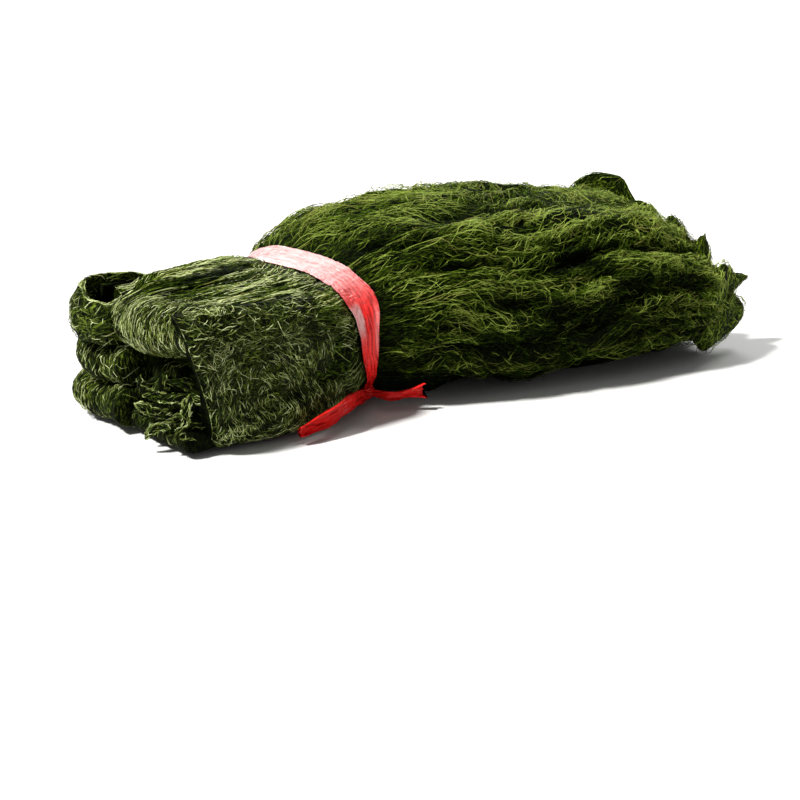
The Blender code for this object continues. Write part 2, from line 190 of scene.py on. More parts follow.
def seed_of(name: str) -> int:
    """A seed of its own for a piece."""
    return sum(map(ord, name))


# ---- shader graphs ---------------------------------------------------------------------------------


class Wire:
    """One output socket of a shader graph. Arithmetic on it adds Math nodes."""

    def __init__(self, graph: "Graph", socket: bpy.types.NodeSocket) -> None:
        """Keeps the socket and the graph that it belongs to."""
        self.graph, self.socket = graph, socket

    def _with(self, operation: str, first: object, second: object) -> "Wire":
        """A Math node of two values or wires."""
        return self.graph.add("ShaderNodeMath", {"operation": operation}, {0: first, 1: second})

    def __add__(self, other: Union["Wire", float]) -> "Wire":
        """self + other."""
        return self._with("ADD", self, other)

    def __radd__(self, other: float) -> "Wire":
        """other + self."""
        return self._with("ADD", other, self)

    def __sub__(self, other: Union["Wire", float]) -> "Wire":
        """self - other."""
        return self._with("SUBTRACT", self, other)

    def __rsub__(self, other: float) -> "Wire":
        """other - self."""
        return self._with("SUBTRACT", other, self)

    def __mul__(self, other: Union["Wire", float]) -> "Wire":
        """self * other."""
        return self._with("MULTIPLY", self, other)

    def __rmul__(self, other: float) -> "Wire":
        """other * self."""
        return self._with("MULTIPLY", other, self)

    def __pow__(self, other: float) -> "Wire":
        """self to the power of other."""
        return self._with("POWER", self, other)

    def higher(self, other: Union["Wire", float]) -> "Wire":
        """The greater of self and other."""
        return self._with("MAXIMUM", self, other)

    def between(self, low: float, high: float) -> "Wire":
        """A smooth step.

        Args:
            low: Where it leaves 0.
            high: Where it reaches 1.

        Returns:
            0 below low, 1 above high, and a smooth rise between them.
        """
        return self.graph.add(
            "ShaderNodeMapRange",
            {"interpolation_type": "SMOOTHSTEP"},
            {"Value": self, "From Min": low, "From Max": high},
        )


class Graph:
    """A material's node graph, which ends in one Principled shader."""

    def __init__(self, name: str) -> None:
        """Makes the material, with its shader and nothing on it.

        Args:
            name: The material's name.
        """
        self.material = bpy.data.materials.new(name)
        self.material.use_nodes = True
        self.tree = self.material.node_tree
        self.shader = self.tree.nodes["Principled BSDF"]

    def add(self, kind: str, settings: dict[str, object], sockets: dict, output: Union[int, str] = 0) -> Wire:
        """Adds a node.

        Args:
            kind: The node's type.
            settings: Its settings; stops stands for a ramp's positions and colours.
            sockets: Values or wires by the name or number of the input.
            output: Which output is wanted.

        Returns:
            The wire from that output.
        """
        node = self.tree.nodes.new(kind)
        for key, value in settings.items():
            if key == "stops":
                ramp = node.color_ramp
                while len(ramp.elements) < len(value):
                    ramp.elements.new(1.0)
                for element, (position, colour) in zip(ramp.elements, value):
                    element.position, element.color = position, colour
            else:
                setattr(node, key, value)
        for key, value in sockets.items():
            self.join(value, node.inputs[key])
        return Wire(self, node.outputs[output])

    def join(self, value: object, socket: bpy.types.NodeSocket) -> None:
        """Links a wire to an input, or sets the input's value.

        Args:
            value: The wire or the value.
            socket: The input.
        """
        if isinstance(value, Wire):
            self.tree.links.new(value.socket, socket)
        else:
            socket.default_value = value

    def feed(self, **inputs: object) -> None:
        """Sets or links inputs of the shader, with _ for the spaces in their names."""
        for key, value in inputs.items():
            self.join(value, self.shader.inputs[key.replace("_", " ")])

    def number(self, attribute: str) -> Wire:
        """A number that the mesh carries."""
        return self.add("ShaderNodeAttribute", {"attribute_name": attribute}, {}, "Fac")

    def noise(self, vector: Wire, stretch: Sequence[float], detail: float = 2.0, rough: float = 0.5) -> Wire:
        """Noise of a vector that is stretched first.

        Args:
            vector: The coordinates.
            stretch: How many times finer the noise is along each of them.
            detail: Octaves.
            rough: Strength of the finer octaves.

        Returns:
            The noise, from 0 to 1.
        """
        scaled = self.add("ShaderNodeVectorMath", {"operation": "MULTIPLY"}, {0: vector, 1: tuple(stretch)})
        sockets = {"Vector": scaled, "Scale": 1.0, "Detail": detail, "Roughness": rough}
        return self.add("ShaderNodeTexNoise", {}, sockets)

    def mix(self, share: Union[Wire, float], first: object, second: object) -> Wire:
        """A colour between two colours."""
        return self.add("ShaderNodeMix", {"data_type": "RGBA"}, {0: share, 6: first, 7: second}, 2)

    def warped(self, vector: Wire, reach: float, scale: float) -> Wire:
        """Pushes a vector about by noise.

        Args:
            vector: The coordinates.
            reach: Twice the furthest push.
            scale: How fine the noise is.

        Returns:
            The pushed coordinates.
        """
        sockets = {"Vector": vector, "Scale": scale, "Detail": 2.0}
        push = self.add("ShaderNodeTexNoise", {}, sockets, "Color")
        centred = self.add("ShaderNodeVectorMath", {"operation": "SUBTRACT"}, {0: push, 1: (0.5, 0.5, 0.5)})
        reached = self.add("ShaderNodeVectorMath", {"operation": "SCALE"}, {0: centred, "Scale": reach})
        return self.add("ShaderNodeVectorMath", {"operation": "ADD"}, {0: vector, 1: reached})


@dataclass(frozen=True)
class StrandFinish:
    """Dry algal filaments: dark olive where their tint is low, from their own tone and from painted shade
    where they lie deep, leaf green, pale where painted glints and painted light lift them, and straw where
    they have bleached.
    """

    name: str
    deep: Colour = (0.0016, 0.0034, 0.0002, 1.0)
    body: Colour = (0.022, 0.045, 0.0016, 1.0)
    bright: Colour = (0.105, 0.180, 0.008, 1.0)
    pale: Colour = (0.46, 0.54, 0.22, 1.0)
    straw: Colour = (0.30, 0.28, 0.070, 1.0)
    roughness: float = 0.48
    gloss: float = 0.07

    def material(self) -> Material:
        """Builds the material, which reads each strand's tint and hue.

        Returns:
            The material.
        """
        g = Graph(self.name)
        tint, hue = g.number("tint"), g.number("hue")
        place = g.add("ShaderNodeTexCoord", {}, {}, "Object")
        drift = g.noise(place, (42, 42, 42), 3.0)
        speck = g.noise(place, (480, 480, 480), 2.0)
        # tint brings each strand's own tone together with the painted light, painted shade and painted glints
        # that grow adds.
        level = tint + (drift - 0.5) * 0.9 + (speck - 0.5) * 1.1
        stops = [(0.0, self.deep), (0.40, self.body), (0.74, self.bright), (1.0, self.pale)]
        green = g.add("ShaderNodeValToRGB", {"stops": stops}, {"Fac": level})
        colour = g.mix(hue * level.between(0.3, 0.8), green, self.straw)
        bump = g.add("ShaderNodeBump", {}, {"Strength": 0.3, "Distance": 0.0003, "Height": speck})
        g.feed(Base_Color=colour, Roughness=self.roughness - 0.15 * speck, Normal=bump)
        g.feed(Specular_IOR_Level=self.gloss)
        return g.material


@dataclass(frozen=True)
class FeltFinish:
    """Matted filaments, which lie along the piece's Fibres map and cross each other at low angles."""

    name: str
    dark: Colour = (0.0010, 0.0021, 0.0002, 1.0)
    body: Colour = (0.012, 0.021, 0.0012, 1.0)
    light: Colour = (0.150, 0.215, 0.024, 1.0)
    pitch: float = 0.0011
    tangle: float = 0.5
    depth: float = 0.0010

    def strands(self, g: Graph, vector: Wire, turn: float, pitch: float) -> Wire:
        """One layer of fibres as ridges from 0 to 1.

        Args:
            g: The graph.
            vector: The fibre coordinates, in metres.
            turn: How far the layer is turned from the map's first direction, in radians.
            pitch: Distance between fibres, in metres.

        Returns:
            The height of the ridges.
        """
        sockets = {"Vector": vector, "Angle": turn}
        turned = g.add("ShaderNodeVectorRotate", {"rotation_type": "Z_AXIS"}, sockets)
        value = g.noise(turned, (0.12 / pitch, 1 / pitch, 1.0), 1.5, 0.5)
        return 1.0 - g.add("ShaderNodeMath", {"operation": "ABSOLUTE"}, {0: (value - 0.5) * 6.0})

    def material(self) -> Material:
        """Builds the material, which reads the piece's Fibres map and its shade.

        Returns:
            The material.
        """
        g = Graph(self.name)
        shade = g.number("shade")
        plane = g.add("ShaderNodeUVMap", {"uv_map": "Fibres"}, {})
        bent = g.warped(plane, 0.006 + 0.012 * self.tangle, 55.0)
        bent = g.warped(bent, 0.0015 + 0.003 * self.tangle, 260.0)
        first = self.strands(g, bent, 0.0, self.pitch)
        second = self.strands(g, bent, 0.25 + 0.8 * self.tangle, self.pitch * 0.8)
        third = self.strands(g, bent, -0.2 - 1.1 * self.tangle, self.pitch * 1.15)
        over = first.higher(second * 0.85).higher(third * 0.7)
        patch = g.noise(plane, (45, 70, 1), 3.0)
        # Painted sheen: glossy noise lightens stretches of the fibres.
        glossy = g.noise(bent, (0.25 / self.pitch, 0.8 / self.pitch, 1.0), 1.0)
        level = over.between(0.30, 0.98) * (0.15 + 0.85 * glossy.between(0.35, 0.68))
        # shade carries the piece's painted light and shade, with some random tone.
        level = level * (0.05 + 1.40 * patch) * (0.25 + 1.3 * shade)
        stops = [(0.06, self.dark), (0.30, self.body), (0.75, self.light)]
        colour = g.add("ShaderNodeValToRGB", {"stops": stops}, {"Fac": level})
        bump = g.add("ShaderNodeBump", {}, {"Strength": 0.9, "Distance": self.depth, "Height": over})
        g.feed(Base_Color=colour, Roughness=0.80 - 0.15 * level, Normal=bump)
        g.feed(Specular_IOR_Level=0.04)
        return g.material


@dataclass(frozen=True)
class FilmFinish:
    """Thin glossy red film, milk-white and paler where only one layer of it is stretched; the same pale
    colour is painted glare over part of its top and a painted highlight along an edge, deep red is painted
    shade in its creases, and the shaded colour painted shade.
    """

    name: str
    red: Colour = (0.95, 0.024, 0.020, 1.0)
    deep: Colour = (0.40, 0.004, 0.004, 1.0)
    milky_and_painted_glare: Colour = (0.92, 0.60, 0.59, 1.0)
    shaded: Colour = (0.13, 0.0015, 0.0015, 1.0)
    roughness: float = 0.16

    def material(self) -> Material:
        """Builds the material, which reads the film's Film map and its thin attribute, which holds its
        milkiness, painted glare and painted shade.

        Returns:
            The material.
        """
        g = Graph(self.name)
        plane = g.add("ShaderNodeUVMap", {"uv_map": "Film"}, {})
        thin = g.number("thin")
        streak = g.noise(g.warped(plane, 0.004, 60.0), (50, 900, 1), 3.0, 0.6)
        cloud = g.noise(plane, (160, 160, 1), 2.0)
        # Painted shade: deep red in the low streaks, which the bump makes into creases.
        colour = g.mix(streak.between(0.34, 0.58), self.deep, self.red)
        crinkle = g.noise(g.warped(plane, 0.003, 150.0), (260, 520, 1), 3.0, 0.55)
        # Milkiness, and painted glare where thin is high, broken up by the crinkles.
        colour = g.mix((thin * (1.3 * streak + 1.1 * crinkle - 0.35)).between(0.0, 1.0), colour, self.milky_and_painted_glare)
        # Painted shade where thin is below 0.
        colour = g.mix((0.0 - thin).between(0.0, 1.0), colour, self.shaded)
        height = streak * 0.6 + crinkle * 0.7
        bump = g.add("ShaderNodeBump", {}, {"Strength": 0.80, "Distance": 0.0011, "Height": height})
        g.feed(Base_Color=colour, Roughness=self.roughness + 0.20 * cloud, Normal=bump)
        g.feed(Specular_IOR_Level=0.14, Coat_Weight=0.10 + 0.56 * (thin + 0.1).between(0.0, 0.6))
        g.feed(Coat_Roughness=0.10)
        return g.material


@dataclass(frozen=True)
class FloorFinish:
    """A plain pale floor."""

    name: str = "pale_floor"
    tone: Colour = (0.86, 0.86, 0.85, 1.0)

    def material(self) -> Material:
        """Builds the material, with a trace of unevenness.

        Returns:
            The material.
        """
        g = Graph(self.name)
        place = g.add("ShaderNodeTexCoord", {}, {}, "Object")
        mottle = g.noise(place, (9, 9, 9), 3.0)
        colour = g.mix(mottle, self.tone, tuple(0.985 * c for c in self.tone[:3]) + (1.0,))
        g.feed(Base_Color=colour, Roughness=0.9)
        return g.material


# ---- meshes ----------------------------------------------------------------------------------------


def put(name: str, data: bpy.types.ID) -> Object:
    """A new object in the scene, for a mesh, a lamp or a camera.

    Args:
        name: Its name.
        data: What it shows.

    Returns:
        The object.
    """
    made = bpy.data.objects.new(name, data)
    bpy.context.scene.collection.objects.link(made)
    return made


def mesh_object(name: str, points: Array, faces: Sequence[Array], material: Material) -> Object:
    """An object in the scene from points of the hank's own frame.

    Args:
        name: The piece's name.
        points: Vertices, one a row.
        faces: Arrays of faces; each array's rows have the same number of corners.
        material: Its finish.

    Returns:
        The object, smooth shaded, at the origin.
    """
    mesh = bpy.data.meshes.new(name)
    corners = np.concatenate([f.ravel() for f in faces]).astype(np.int32)
    counts = np.concatenate([np.full(len(f), f.shape[1], np.int32) for f in faces])
    starts = np.concatenate([[0], np.cumsum(counts)[:-1]]).astype(np.int32)
    placed = points + HANK_PLACE
    placed[:, 2] = np.maximum(placed[:, 2], FLOOR_CLEARANCE)
    mesh.vertices.add(len(placed))
    mesh.vertices.foreach_set("co", placed.ravel())
    mesh.loops.add(len(corners))
    mesh.loops.foreach_set("vertex_index", corners)
    mesh.polygons.add(len(counts))
    mesh.polygons.foreach_set("loop_start", starts)
    mesh.polygons.foreach_set("use_smooth", np.ones(len(counts), bool))
    mesh.materials.append(material)
    mesh.update(calc_edges=True)
    mesh.validate()
    return put(name, mesh)


def read(items: bpy.types.bpy_prop_collection, key: str, kind: type = np.int32) -> Array:
    """One value of each item of a mesh.

    Args:
        items: Corners, faces or values.
        key: Name of the value.
        kind: Its number type.

    Returns:
        The values.
    """
    values = np.empty(len(items), kind)
    items.foreach_get(key, values)
    return values


def set_map(mesh: bpy.types.Mesh, name: str, places: Array) -> None:
    """Adds a UV map with one place for each corner."""
    mesh.uv_layers.new(name=name).uv.foreach_set("vector", places.astype(np.float32).ravel())


def set_values(mesh: bpy.types.Mesh, name: str, values: Array) -> None:
    """Adds a number for each vertex."""
    mesh.attributes.new(name, "FLOAT", "POINT").data.foreach_set("value", values.astype(np.float32).ravel())


def turn_outwards(made: Object) -> None:
    """Makes a closed mesh's faces point outwards.

    Args:
        made: The piece, whose mesh is changed.
    """
    shape = bmesh.new()
    shape.from_mesh(made.data)
    bmesh.ops.recalc_face_normals(shape, faces=shape.faces)
    shape.to_mesh(made.data)
    shape.free()


@dataclass
class Body:
    """A closed body through rings of points, with fibre coordinates and a shade for each point."""

    name: str
    rings: Array  # ring, point, xyz
    fibres: Array  # ring, point, uv in metres
    shade: Array  # ring, point
    map_name: str = "Fibres"
    shade_name: str = "shade"
    looped: bool = False

    def build(self, finish: Material) -> Object:
        """Makes the mesh: the rings, with a fan over each end unless they loop.

        Args:
            finish: The material.

        Returns:
            The object.
        """
        rows, around = self.rings.shape[:2]
        points, fibres = self.rings.reshape(-1, 3), self.fibres.reshape(-1, 2)
        shade = self.shade.ravel()
        index = np.arange(rows * around).reshape(rows, around)
        ahead = np.roll(index, -1, axis=0) if self.looped else index[1:]
        here = index if self.looped else index[:-1]
        quads = np.stack([here, np.roll(here, -1, 1), np.roll(ahead, -1, 1), ahead], axis=-1).reshape(-1, 4)
        faces = [quads]
        if not self.looped:
            for row, flip in ((0, True), (rows - 1, False)):
                middle = len(points)
                points = np.vstack([points, self.rings[row].mean(0)])
                fibres = np.vstack([fibres, self.fibres[row].mean(0)])
                shade = np.append(shade, self.shade[row].mean())
                ring = index[row]
                fan = np.stack([ring, np.roll(ring, -1), np.full(around, middle)], axis=-1)
                faces.append(fan[:, ::-1] if flip else fan)
        made = mesh_object(self.name, points, faces, finish)
        set_map(made.data, self.map_name, fibres[read(made.data.loops, "vertex_index")])
        set_values(made.data, self.shade_name, shade)
        turn_outwards(made)
        return made


# ---- surfaces that fibres lie on -------------------------------------------------------------------


class Surface:
    """A surface with metric coordinates: u along its fibres, and v across them."""

    span_u: Span = (0.0, 1.0)
    span_v: Span = (0.0, 1.0)

    def place(self, u: Array, v: Array, lift: Array) -> Array:
        """Points at (u, v), that far out of the surface. Each kind of surface has its own."""
        raise NotImplementedError

    def heading(self, u: Array, v: Array) -> Array:
        """Angle of the fibres to u."""
        return np.zeros(np.broadcast(u, v).shape)

    def light(self, u: Array, v: Array) -> Array:
        """Painted light and shade: how much brighter or darker than usual the fibres are painted."""
        return np.zeros(np.broadcast(u, v).shape)

    def held(self, u: Array, v: Array, over: float = 0.0) -> tuple[Array, Array]:
        """(u, v), kept to the surface and at most over beyond its edges.

        Args:
            u: Place along the fibres.
            v: Place across them.
            over: How far beyond the edges.

        Returns:
            The kept u and v.
        """
        return (
            np.clip(u, self.span_u[0] - over, self.span_u[1] + over),
            np.clip(v, self.span_v[0] - over, self.span_v[1] + over),
        )


@dataclass(frozen=True)
class Mark:
    """A place on the loose half that stands out or lies deep, painted lighter or darker than the rest:
    painted light where light is above 0, painted shade where it is below 0.
    """

    x: float
    degrees: float
    reach: float
    reach_degrees: float
    height: float
    # Painted light above 0, painted shade below 0.
    light: float

    def share(self, x: Array, angle: Array) -> Array:
        """How much of the mark is at (x, angle), from 0 to 1."""
        off = (np.degrees(angle) - self.degrees + 180) % 360 - 180
        return np.exp(-(((x - self.x) / self.reach) ** 2) - (off / self.reach_degrees) ** 2)


MARKS = (
    Mark(0.258, 150, 0.014, 7, -0.0070, -0.60),
    Mark(0.272, 157, 0.012, 5, -0.0040, -0.40),
    Mark(0.248, 181, 0.016, 5, -0.0050, -0.45),
    Mark(0.215, 175, 0.014, 4, -0.0030, -0.30),
    Mark(0.164, 116, 0.012, 7, -0.0035, -0.45),
    Mark(0.180, 126, 0.014, 5, -0.0040, -0.50),
    Mark(0.204, 115, 0.014, 4, -0.0040, -0.45),
    Mark(0.300, 172, 0.020, 6, -0.0040, -0.35),
    Mark(0.345, 165, 0.010, 8, -0.0040, -0.40),
    Mark(0.205, 131, 0.014, 5, 0.0030, 0.22),
    Mark(0.229, 122, 0.016, 5, 0.0035, 0.30),
    Mark(0.259, 125, 0.016, 5, 0.0035, 0.30),
    Mark(0.280, 135, 0.014, 5, 0.0025, 0.20),
    Mark(0.194, 87, 0.030, 14, 0.0, 0.20),
    Mark(0.212, 99, 0.030, 8, 0.0, 0.20),
    Mark(0.246, 97, 0.020, 8, 0.0, 0.15),
    Mark(0.369, 150, 0.014, 14, 0.0020, 0.60),
    Mark(0.330, 133, 0.018, 9, 0.0020, 0.42),
    Mark(0.352, 118, 0.018, 10, 0.0, 0.36),
    Mark(0.318, 155, 0.016, 6, 0.0015, 0.22),
    Mark(0.303, 90, 0.016, 6, 0.0035, 0.32),
    Mark(0.316, 97, 0.012, 5, 0.0030, 0.25),
)


class HankSurface(Surface):
    """The core of the hank: u is x, and v goes round it, along the locks of fibre."""

    GROOVES, CREASES, DENTS = 43, 96, 24  # of each, round the hank
    GROOVE_DEPTH, CREASE_DEPTH, DENT_DEPTH = 0.0070, 0.0024, 0.0030
    LOCK_RISE, FOLDED_RISE = 0.0058, 0.0010  # of the broad locks, on the loose half and the folded one
    CREST_RISE = 0.0034  # how much higher the loose half stands along its top
    MOUTH_DEPTH = 0.018  # how far the core makes room for the pocket
    STRAY = 0.325  # radians that a lock strays round the hank for each unit of wander
    STRAY_FROM = (0.125, 0.190)  # x over which the locks begin to stray

    span_u = (CORE_START + 0.001, CORE_END - 0.001)
    span_v = ENDLESS

    def __init__(self) -> None:
        """Draws the noise of the finer locks."""
        self.grooves = Lattice(3, self.GROOVES)
        self.creases = Lattice(4, self.CREASES)
        self.dents = Lattice(5, self.DENTS)

    @staticmethod
    def wander(x: Array) -> Array:
        """How far the locks stray round the hank as they go along it."""
        return 0.30 * np.sin(x / 0.052) + 0.18 * np.sin(x / 0.023 + 1.0)

    @staticmethod
    def slant(x: Array, angle: Array) -> Array:
        """How far along x the hank is dragged with the slanted ribbon.

        Args:
            x: Place along the hank.
            angle: Angle round it.

        Returns:
            The distance.
        """
        reach = np.where(x > WAIST_X, WAIST_REACH[1], WAIST_REACH[0])
        near = 1 - step_between(0.0, 1.0, np.abs(x - WAIST_X) / reach)
        return -WAIST_SLANT * near * (0.45 + np.cos(angle - math.radians(52)))

    def angle_at(self, u: Array, v: Array) -> Array:
        """The angle round the hank of fibre line v at x = u."""
        return v / GIRTH_RADIUS - self.STRAY * self.wander(u) * step_between(*self.STRAY_FROM, u)

    def line_at(self, x: Array, angle: Array) -> Array:
        """The fibre line through a place, in radians."""
        return angle + self.STRAY * self.wander(x) * step_between(*self.STRAY_FROM, x)

    def crest(self, x: Array, angle: Array) -> Array:
        """How much higher the loose half stands at a place, most of all along its top."""
        return self.CREST_RISE * step_between(*LOOSE_FROM, x) * np.clip(np.sin(angle - 0.12), 0, 1) ** 3

    def relief(self, x: Array, angle: Array) -> Array:
        """How far the locks stand out of the core.

        Args:
            x: Place along the hank.
            angle: Angle round it.

        Returns:
            Distances out of the core.
        """
        loose = step_between(*LOOSE_FROM, x)
        folded = 1 - step_between(*FOLDED_TO, x)
        broad = 2 * np.abs(np.cos(4 * angle + 1.3 * self.wander(x) + 0.8)) ** 0.6 - 1
        narrow = np.cos(13 * angle - 2.7 * self.wander(x) + 2.0)
        high = (self.LOCK_RISE * loose + self.FOLDED_RISE * folded) * (0.7 * broad + 0.3 * narrow)
        turn = self.line_at(x, angle) / (2 * math.pi)
        groove = 1 - np.abs(self.grooves(x / 0.055, turn * self.GROOVES))
        crease = 1 - np.abs(self.creases(x / 0.024 + 9, turn * self.CREASES))
        dent = self.dents(x / 0.030 + 5, turn * self.DENTS)
        deeper = self.GROOVE_DEPTH * (groove - 1) + self.CREASE_DEPTH * (crease - 1)
        deeper = deeper + self.DENT_DEPTH * (dent - 0.4)
        turned = (angle + math.pi) % (2 * math.pi) - math.pi
        mouth = step_between(0.040, 0.026, x) * np.exp(-(((turned - 1.20) / 0.20) ** 2))
        marked = sum(mark.height * mark.share(x, angle) for mark in MARKS) + self.crest(x, angle)
        high = high + loose * deeper - 0.0006 + folded * 0.0012 * (crease - 1)
        return high - self.MOUTH_DEPTH * mouth + marked

    def outline(self, x: Array, angle: Array) -> tuple[Array, Array]:
        """Points on the smooth core, and the directions out of it, in y and z.

        Args:
            x: Place along the hank.
            angle: Angle round it.

        Returns:
            y and z of the points and directions.
        """
        half, top, bottom, shift, square, lean = (
            smooth_through(x, SECTIONS[:, 0], SECTIONS[:, k]) for k in range(1, 7)
        )
        middle, high = (top + bottom) / 2, (top - bottom) / 2
        cos, sin = np.cos(angle), np.sin(angle)
        across = np.sign(cos) * np.abs(cos) ** (2 / square)
        upward = np.sign(sin) * np.abs(sin) ** (2 / square)
        out = np.stack([across / half, upward / high], axis=-1)
        out /= np.linalg.norm(out, axis=-1, keepdims=True)
        return np.stack([shift + half * across, middle + high * upward * (1 + lean * across)], axis=-1), out

    def smooth_at(self, x: Array, angle: Array, lift: Array) -> Array:
        """Points at x and an angle round the hank, that far out of its smooth core.

        Args:
            x: Place along the hank.
            angle: Angle round it.
            lift: How far out.

        Returns:
            The points.
        """
        x, angle, lift = np.broadcast_arrays(x, angle, lift)
        flat, out = self.outline(x, angle)
        placed = x + self.slant(x, angle)
        return np.concatenate([placed[..., None], flat + out * lift[..., None]], axis=-1)

    def at(self, x: Array, angle: Array, lift: Array) -> Array:
        """Points at x and an angle round the hank, that far out of its locks, but under the ribbon.

        Args:
            x: Place along the hank.
            angle: Angle round it.
            lift: How far out.

        Returns:
            The points.
        """
        tied = step_between(0.0175, 0.0125, np.abs(x - WAIST_X))
        pressed = lift * (1 - tied) + np.minimum(lift, 0.0004) * tied
        return self.smooth_at(x, angle, self.relief(x, angle) + pressed)

    def place(self, u: Array, v: Array, lift: Array) -> Array:
        """Points at (u, v), that far out of the locks."""
        return self.at(u, self.angle_at(u, v), lift)

    def light(self, u: Array, v: Array) -> Array:
        """Painted shade: darker in the grooves and low down, where shade falls, with the marks' painted light
        and shade.

        Args:
            u: Place along the fibres.
            v: Place across them.

        Returns:
            The change of shade.
        """
        angle = self.angle_at(u, v)
        groove = step_between(-0.010, 0.001, self.relief(u, angle) - self.crest(u, angle)) - 0.60
        low = -0.42 * step_between(0.35, -0.70, np.sin(angle)) * step_between(0.11, 0.17, u)
        marked = sum(mark.light * mark.share(u, angle) for mark in MARKS)
        return 0.60 * groove * step_between(0.13, 0.18, u) + low + marked


def turned_edge(share: Array, nose: Array, top: Array, low: Array, back: float) -> tuple[Array, ...]:
    """Layers that turn back on themselves, seen from the side: flat above and below, with a round nose.

    Args:
        share: How far along the outline, from 0 at the back above to 1 at the back below.
        nose: Least x.
        top: Height above.
        low: Height below.
        back: Where the outline starts and ends in x.

    Returns:
        x, z, and the direction out in x and z.
    """
    radius = (top - low) / 2
    flat = np.maximum(back - nose - radius, 1e-4)
    whole = 2 * flat + math.pi * radius
    run = share * whole
    turn = np.clip((run - flat) / radius, 0, math.pi)
    x = nose + radius - radius * np.sin(turn)
    x = np.where(run < flat, back - run, np.where(run > whole - flat, back - (whole - run), x))
    z = low + radius + radius * np.cos(turn)
    return x, z, -np.sin(turn), np.cos(turn)


@dataclass
class TurnedLayers(Surface):
    """Layers of fibre that turn back on themselves at the folded end: u goes round the nose, and v is y."""

    name: str
    nose: float
    top: float
    low: float
    start: float
    end: float
    corner: float = 0.003
    back: float = 0.032
    fold: Fold = Fold.CURL
    round: float = 0.0055

    def __post_init__(self) -> None:
        """Measures the surface."""
        radius = (self.top - self.low) / 2
        self.length = 2 * (self.back - self.nose - radius) + math.pi * radius
        self.span_u, self.span_v = (0.0, self.length), (self.start, self.end)

    def edges(self, y: Array) -> tuple[Array, Array, Array]:
        """Nose, top and low edge at y.

        Args:
            y: Places across.

        Returns:
            Nose, top and low edge.
        """
        share = np.clip((y - self.start) / (self.end - self.start), 0, 1)
        off_end = np.clip(np.minimum(y - self.start, self.end - y) / self.round, 0, 1)
        closing = 0.40 * (self.top - self.low) * (1 - np.sqrt(1 - (1 - off_end) ** 2))
        if self.fold is Fold.ROLL:
            nose = self.nose + 0.0016 * np.sin(9 * share) + 0.003 * (1 - share) ** 3
            low = self.low - 0.005 * step_between(0.0, 0.4, share) + 0.0012 * np.sin(7 * share)
            top = self.top + 0.0010 * np.sin(6 * share + 1) - 0.0045 * step_between(0.72, 1.0, share)
            return nose + closing, top - 0.3 * closing, low + closing
        swell = 0.0014 * np.sin(6 * share + 90 * self.top)
        drift = 0.0012 * np.sin(8 * share + 50 * self.low)
        nose = self.nose - swell + closing + self.corner * (np.maximum(share - 0.62, 0) / 0.38) ** 2
        return nose, self.top + drift + 0.4 * swell - closing, self.low + drift - 0.4 * swell + closing

    def light(self, u: Array, v: Array) -> Array:
        """Painted shade: darker underneath and under the layers above, the curls darker all over and towards
        the front layers, deep in the cavity; lighter along the cut end of the lobes.

        Args:
            u: Place along the fibres.
            v: Place across them.

        Returns:
            The change of shade.
        """
        below = self.fold is not Fold.ROLL
        under = step_between(0.50, 0.75, u / self.length)
        over = step_between(0.30, 0.12, u / self.length) * below
        deep = step_between(-0.034, -0.050, v) * below
        inner = 0.07 * (self.fold is Fold.CURL)
        cut = 0.30 * step_between(self.start + 0.0035, self.start + 0.0010, v) * (self.round < 0.002)
        return cut - 0.35 * under - 0.30 * over - 0.25 * deep - inner

    def place(self, u: Array, v: Array, lift: Array) -> Array:
        """Points at (u, v), that far out.

        Args:
            u: Place along the fibres.
            v: Place across them.
            lift: How far out.

        Returns:
            The points.
        """
        u, v, lift = np.broadcast_arrays(u, v, lift)
        nose, top, low = self.edges(v)
        x, z, out_x, out_z = turned_edge(u / self.length, nose, top, low, self.back)
        return np.stack([x + out_x * lift, v, z + out_z * lift], axis=-1)


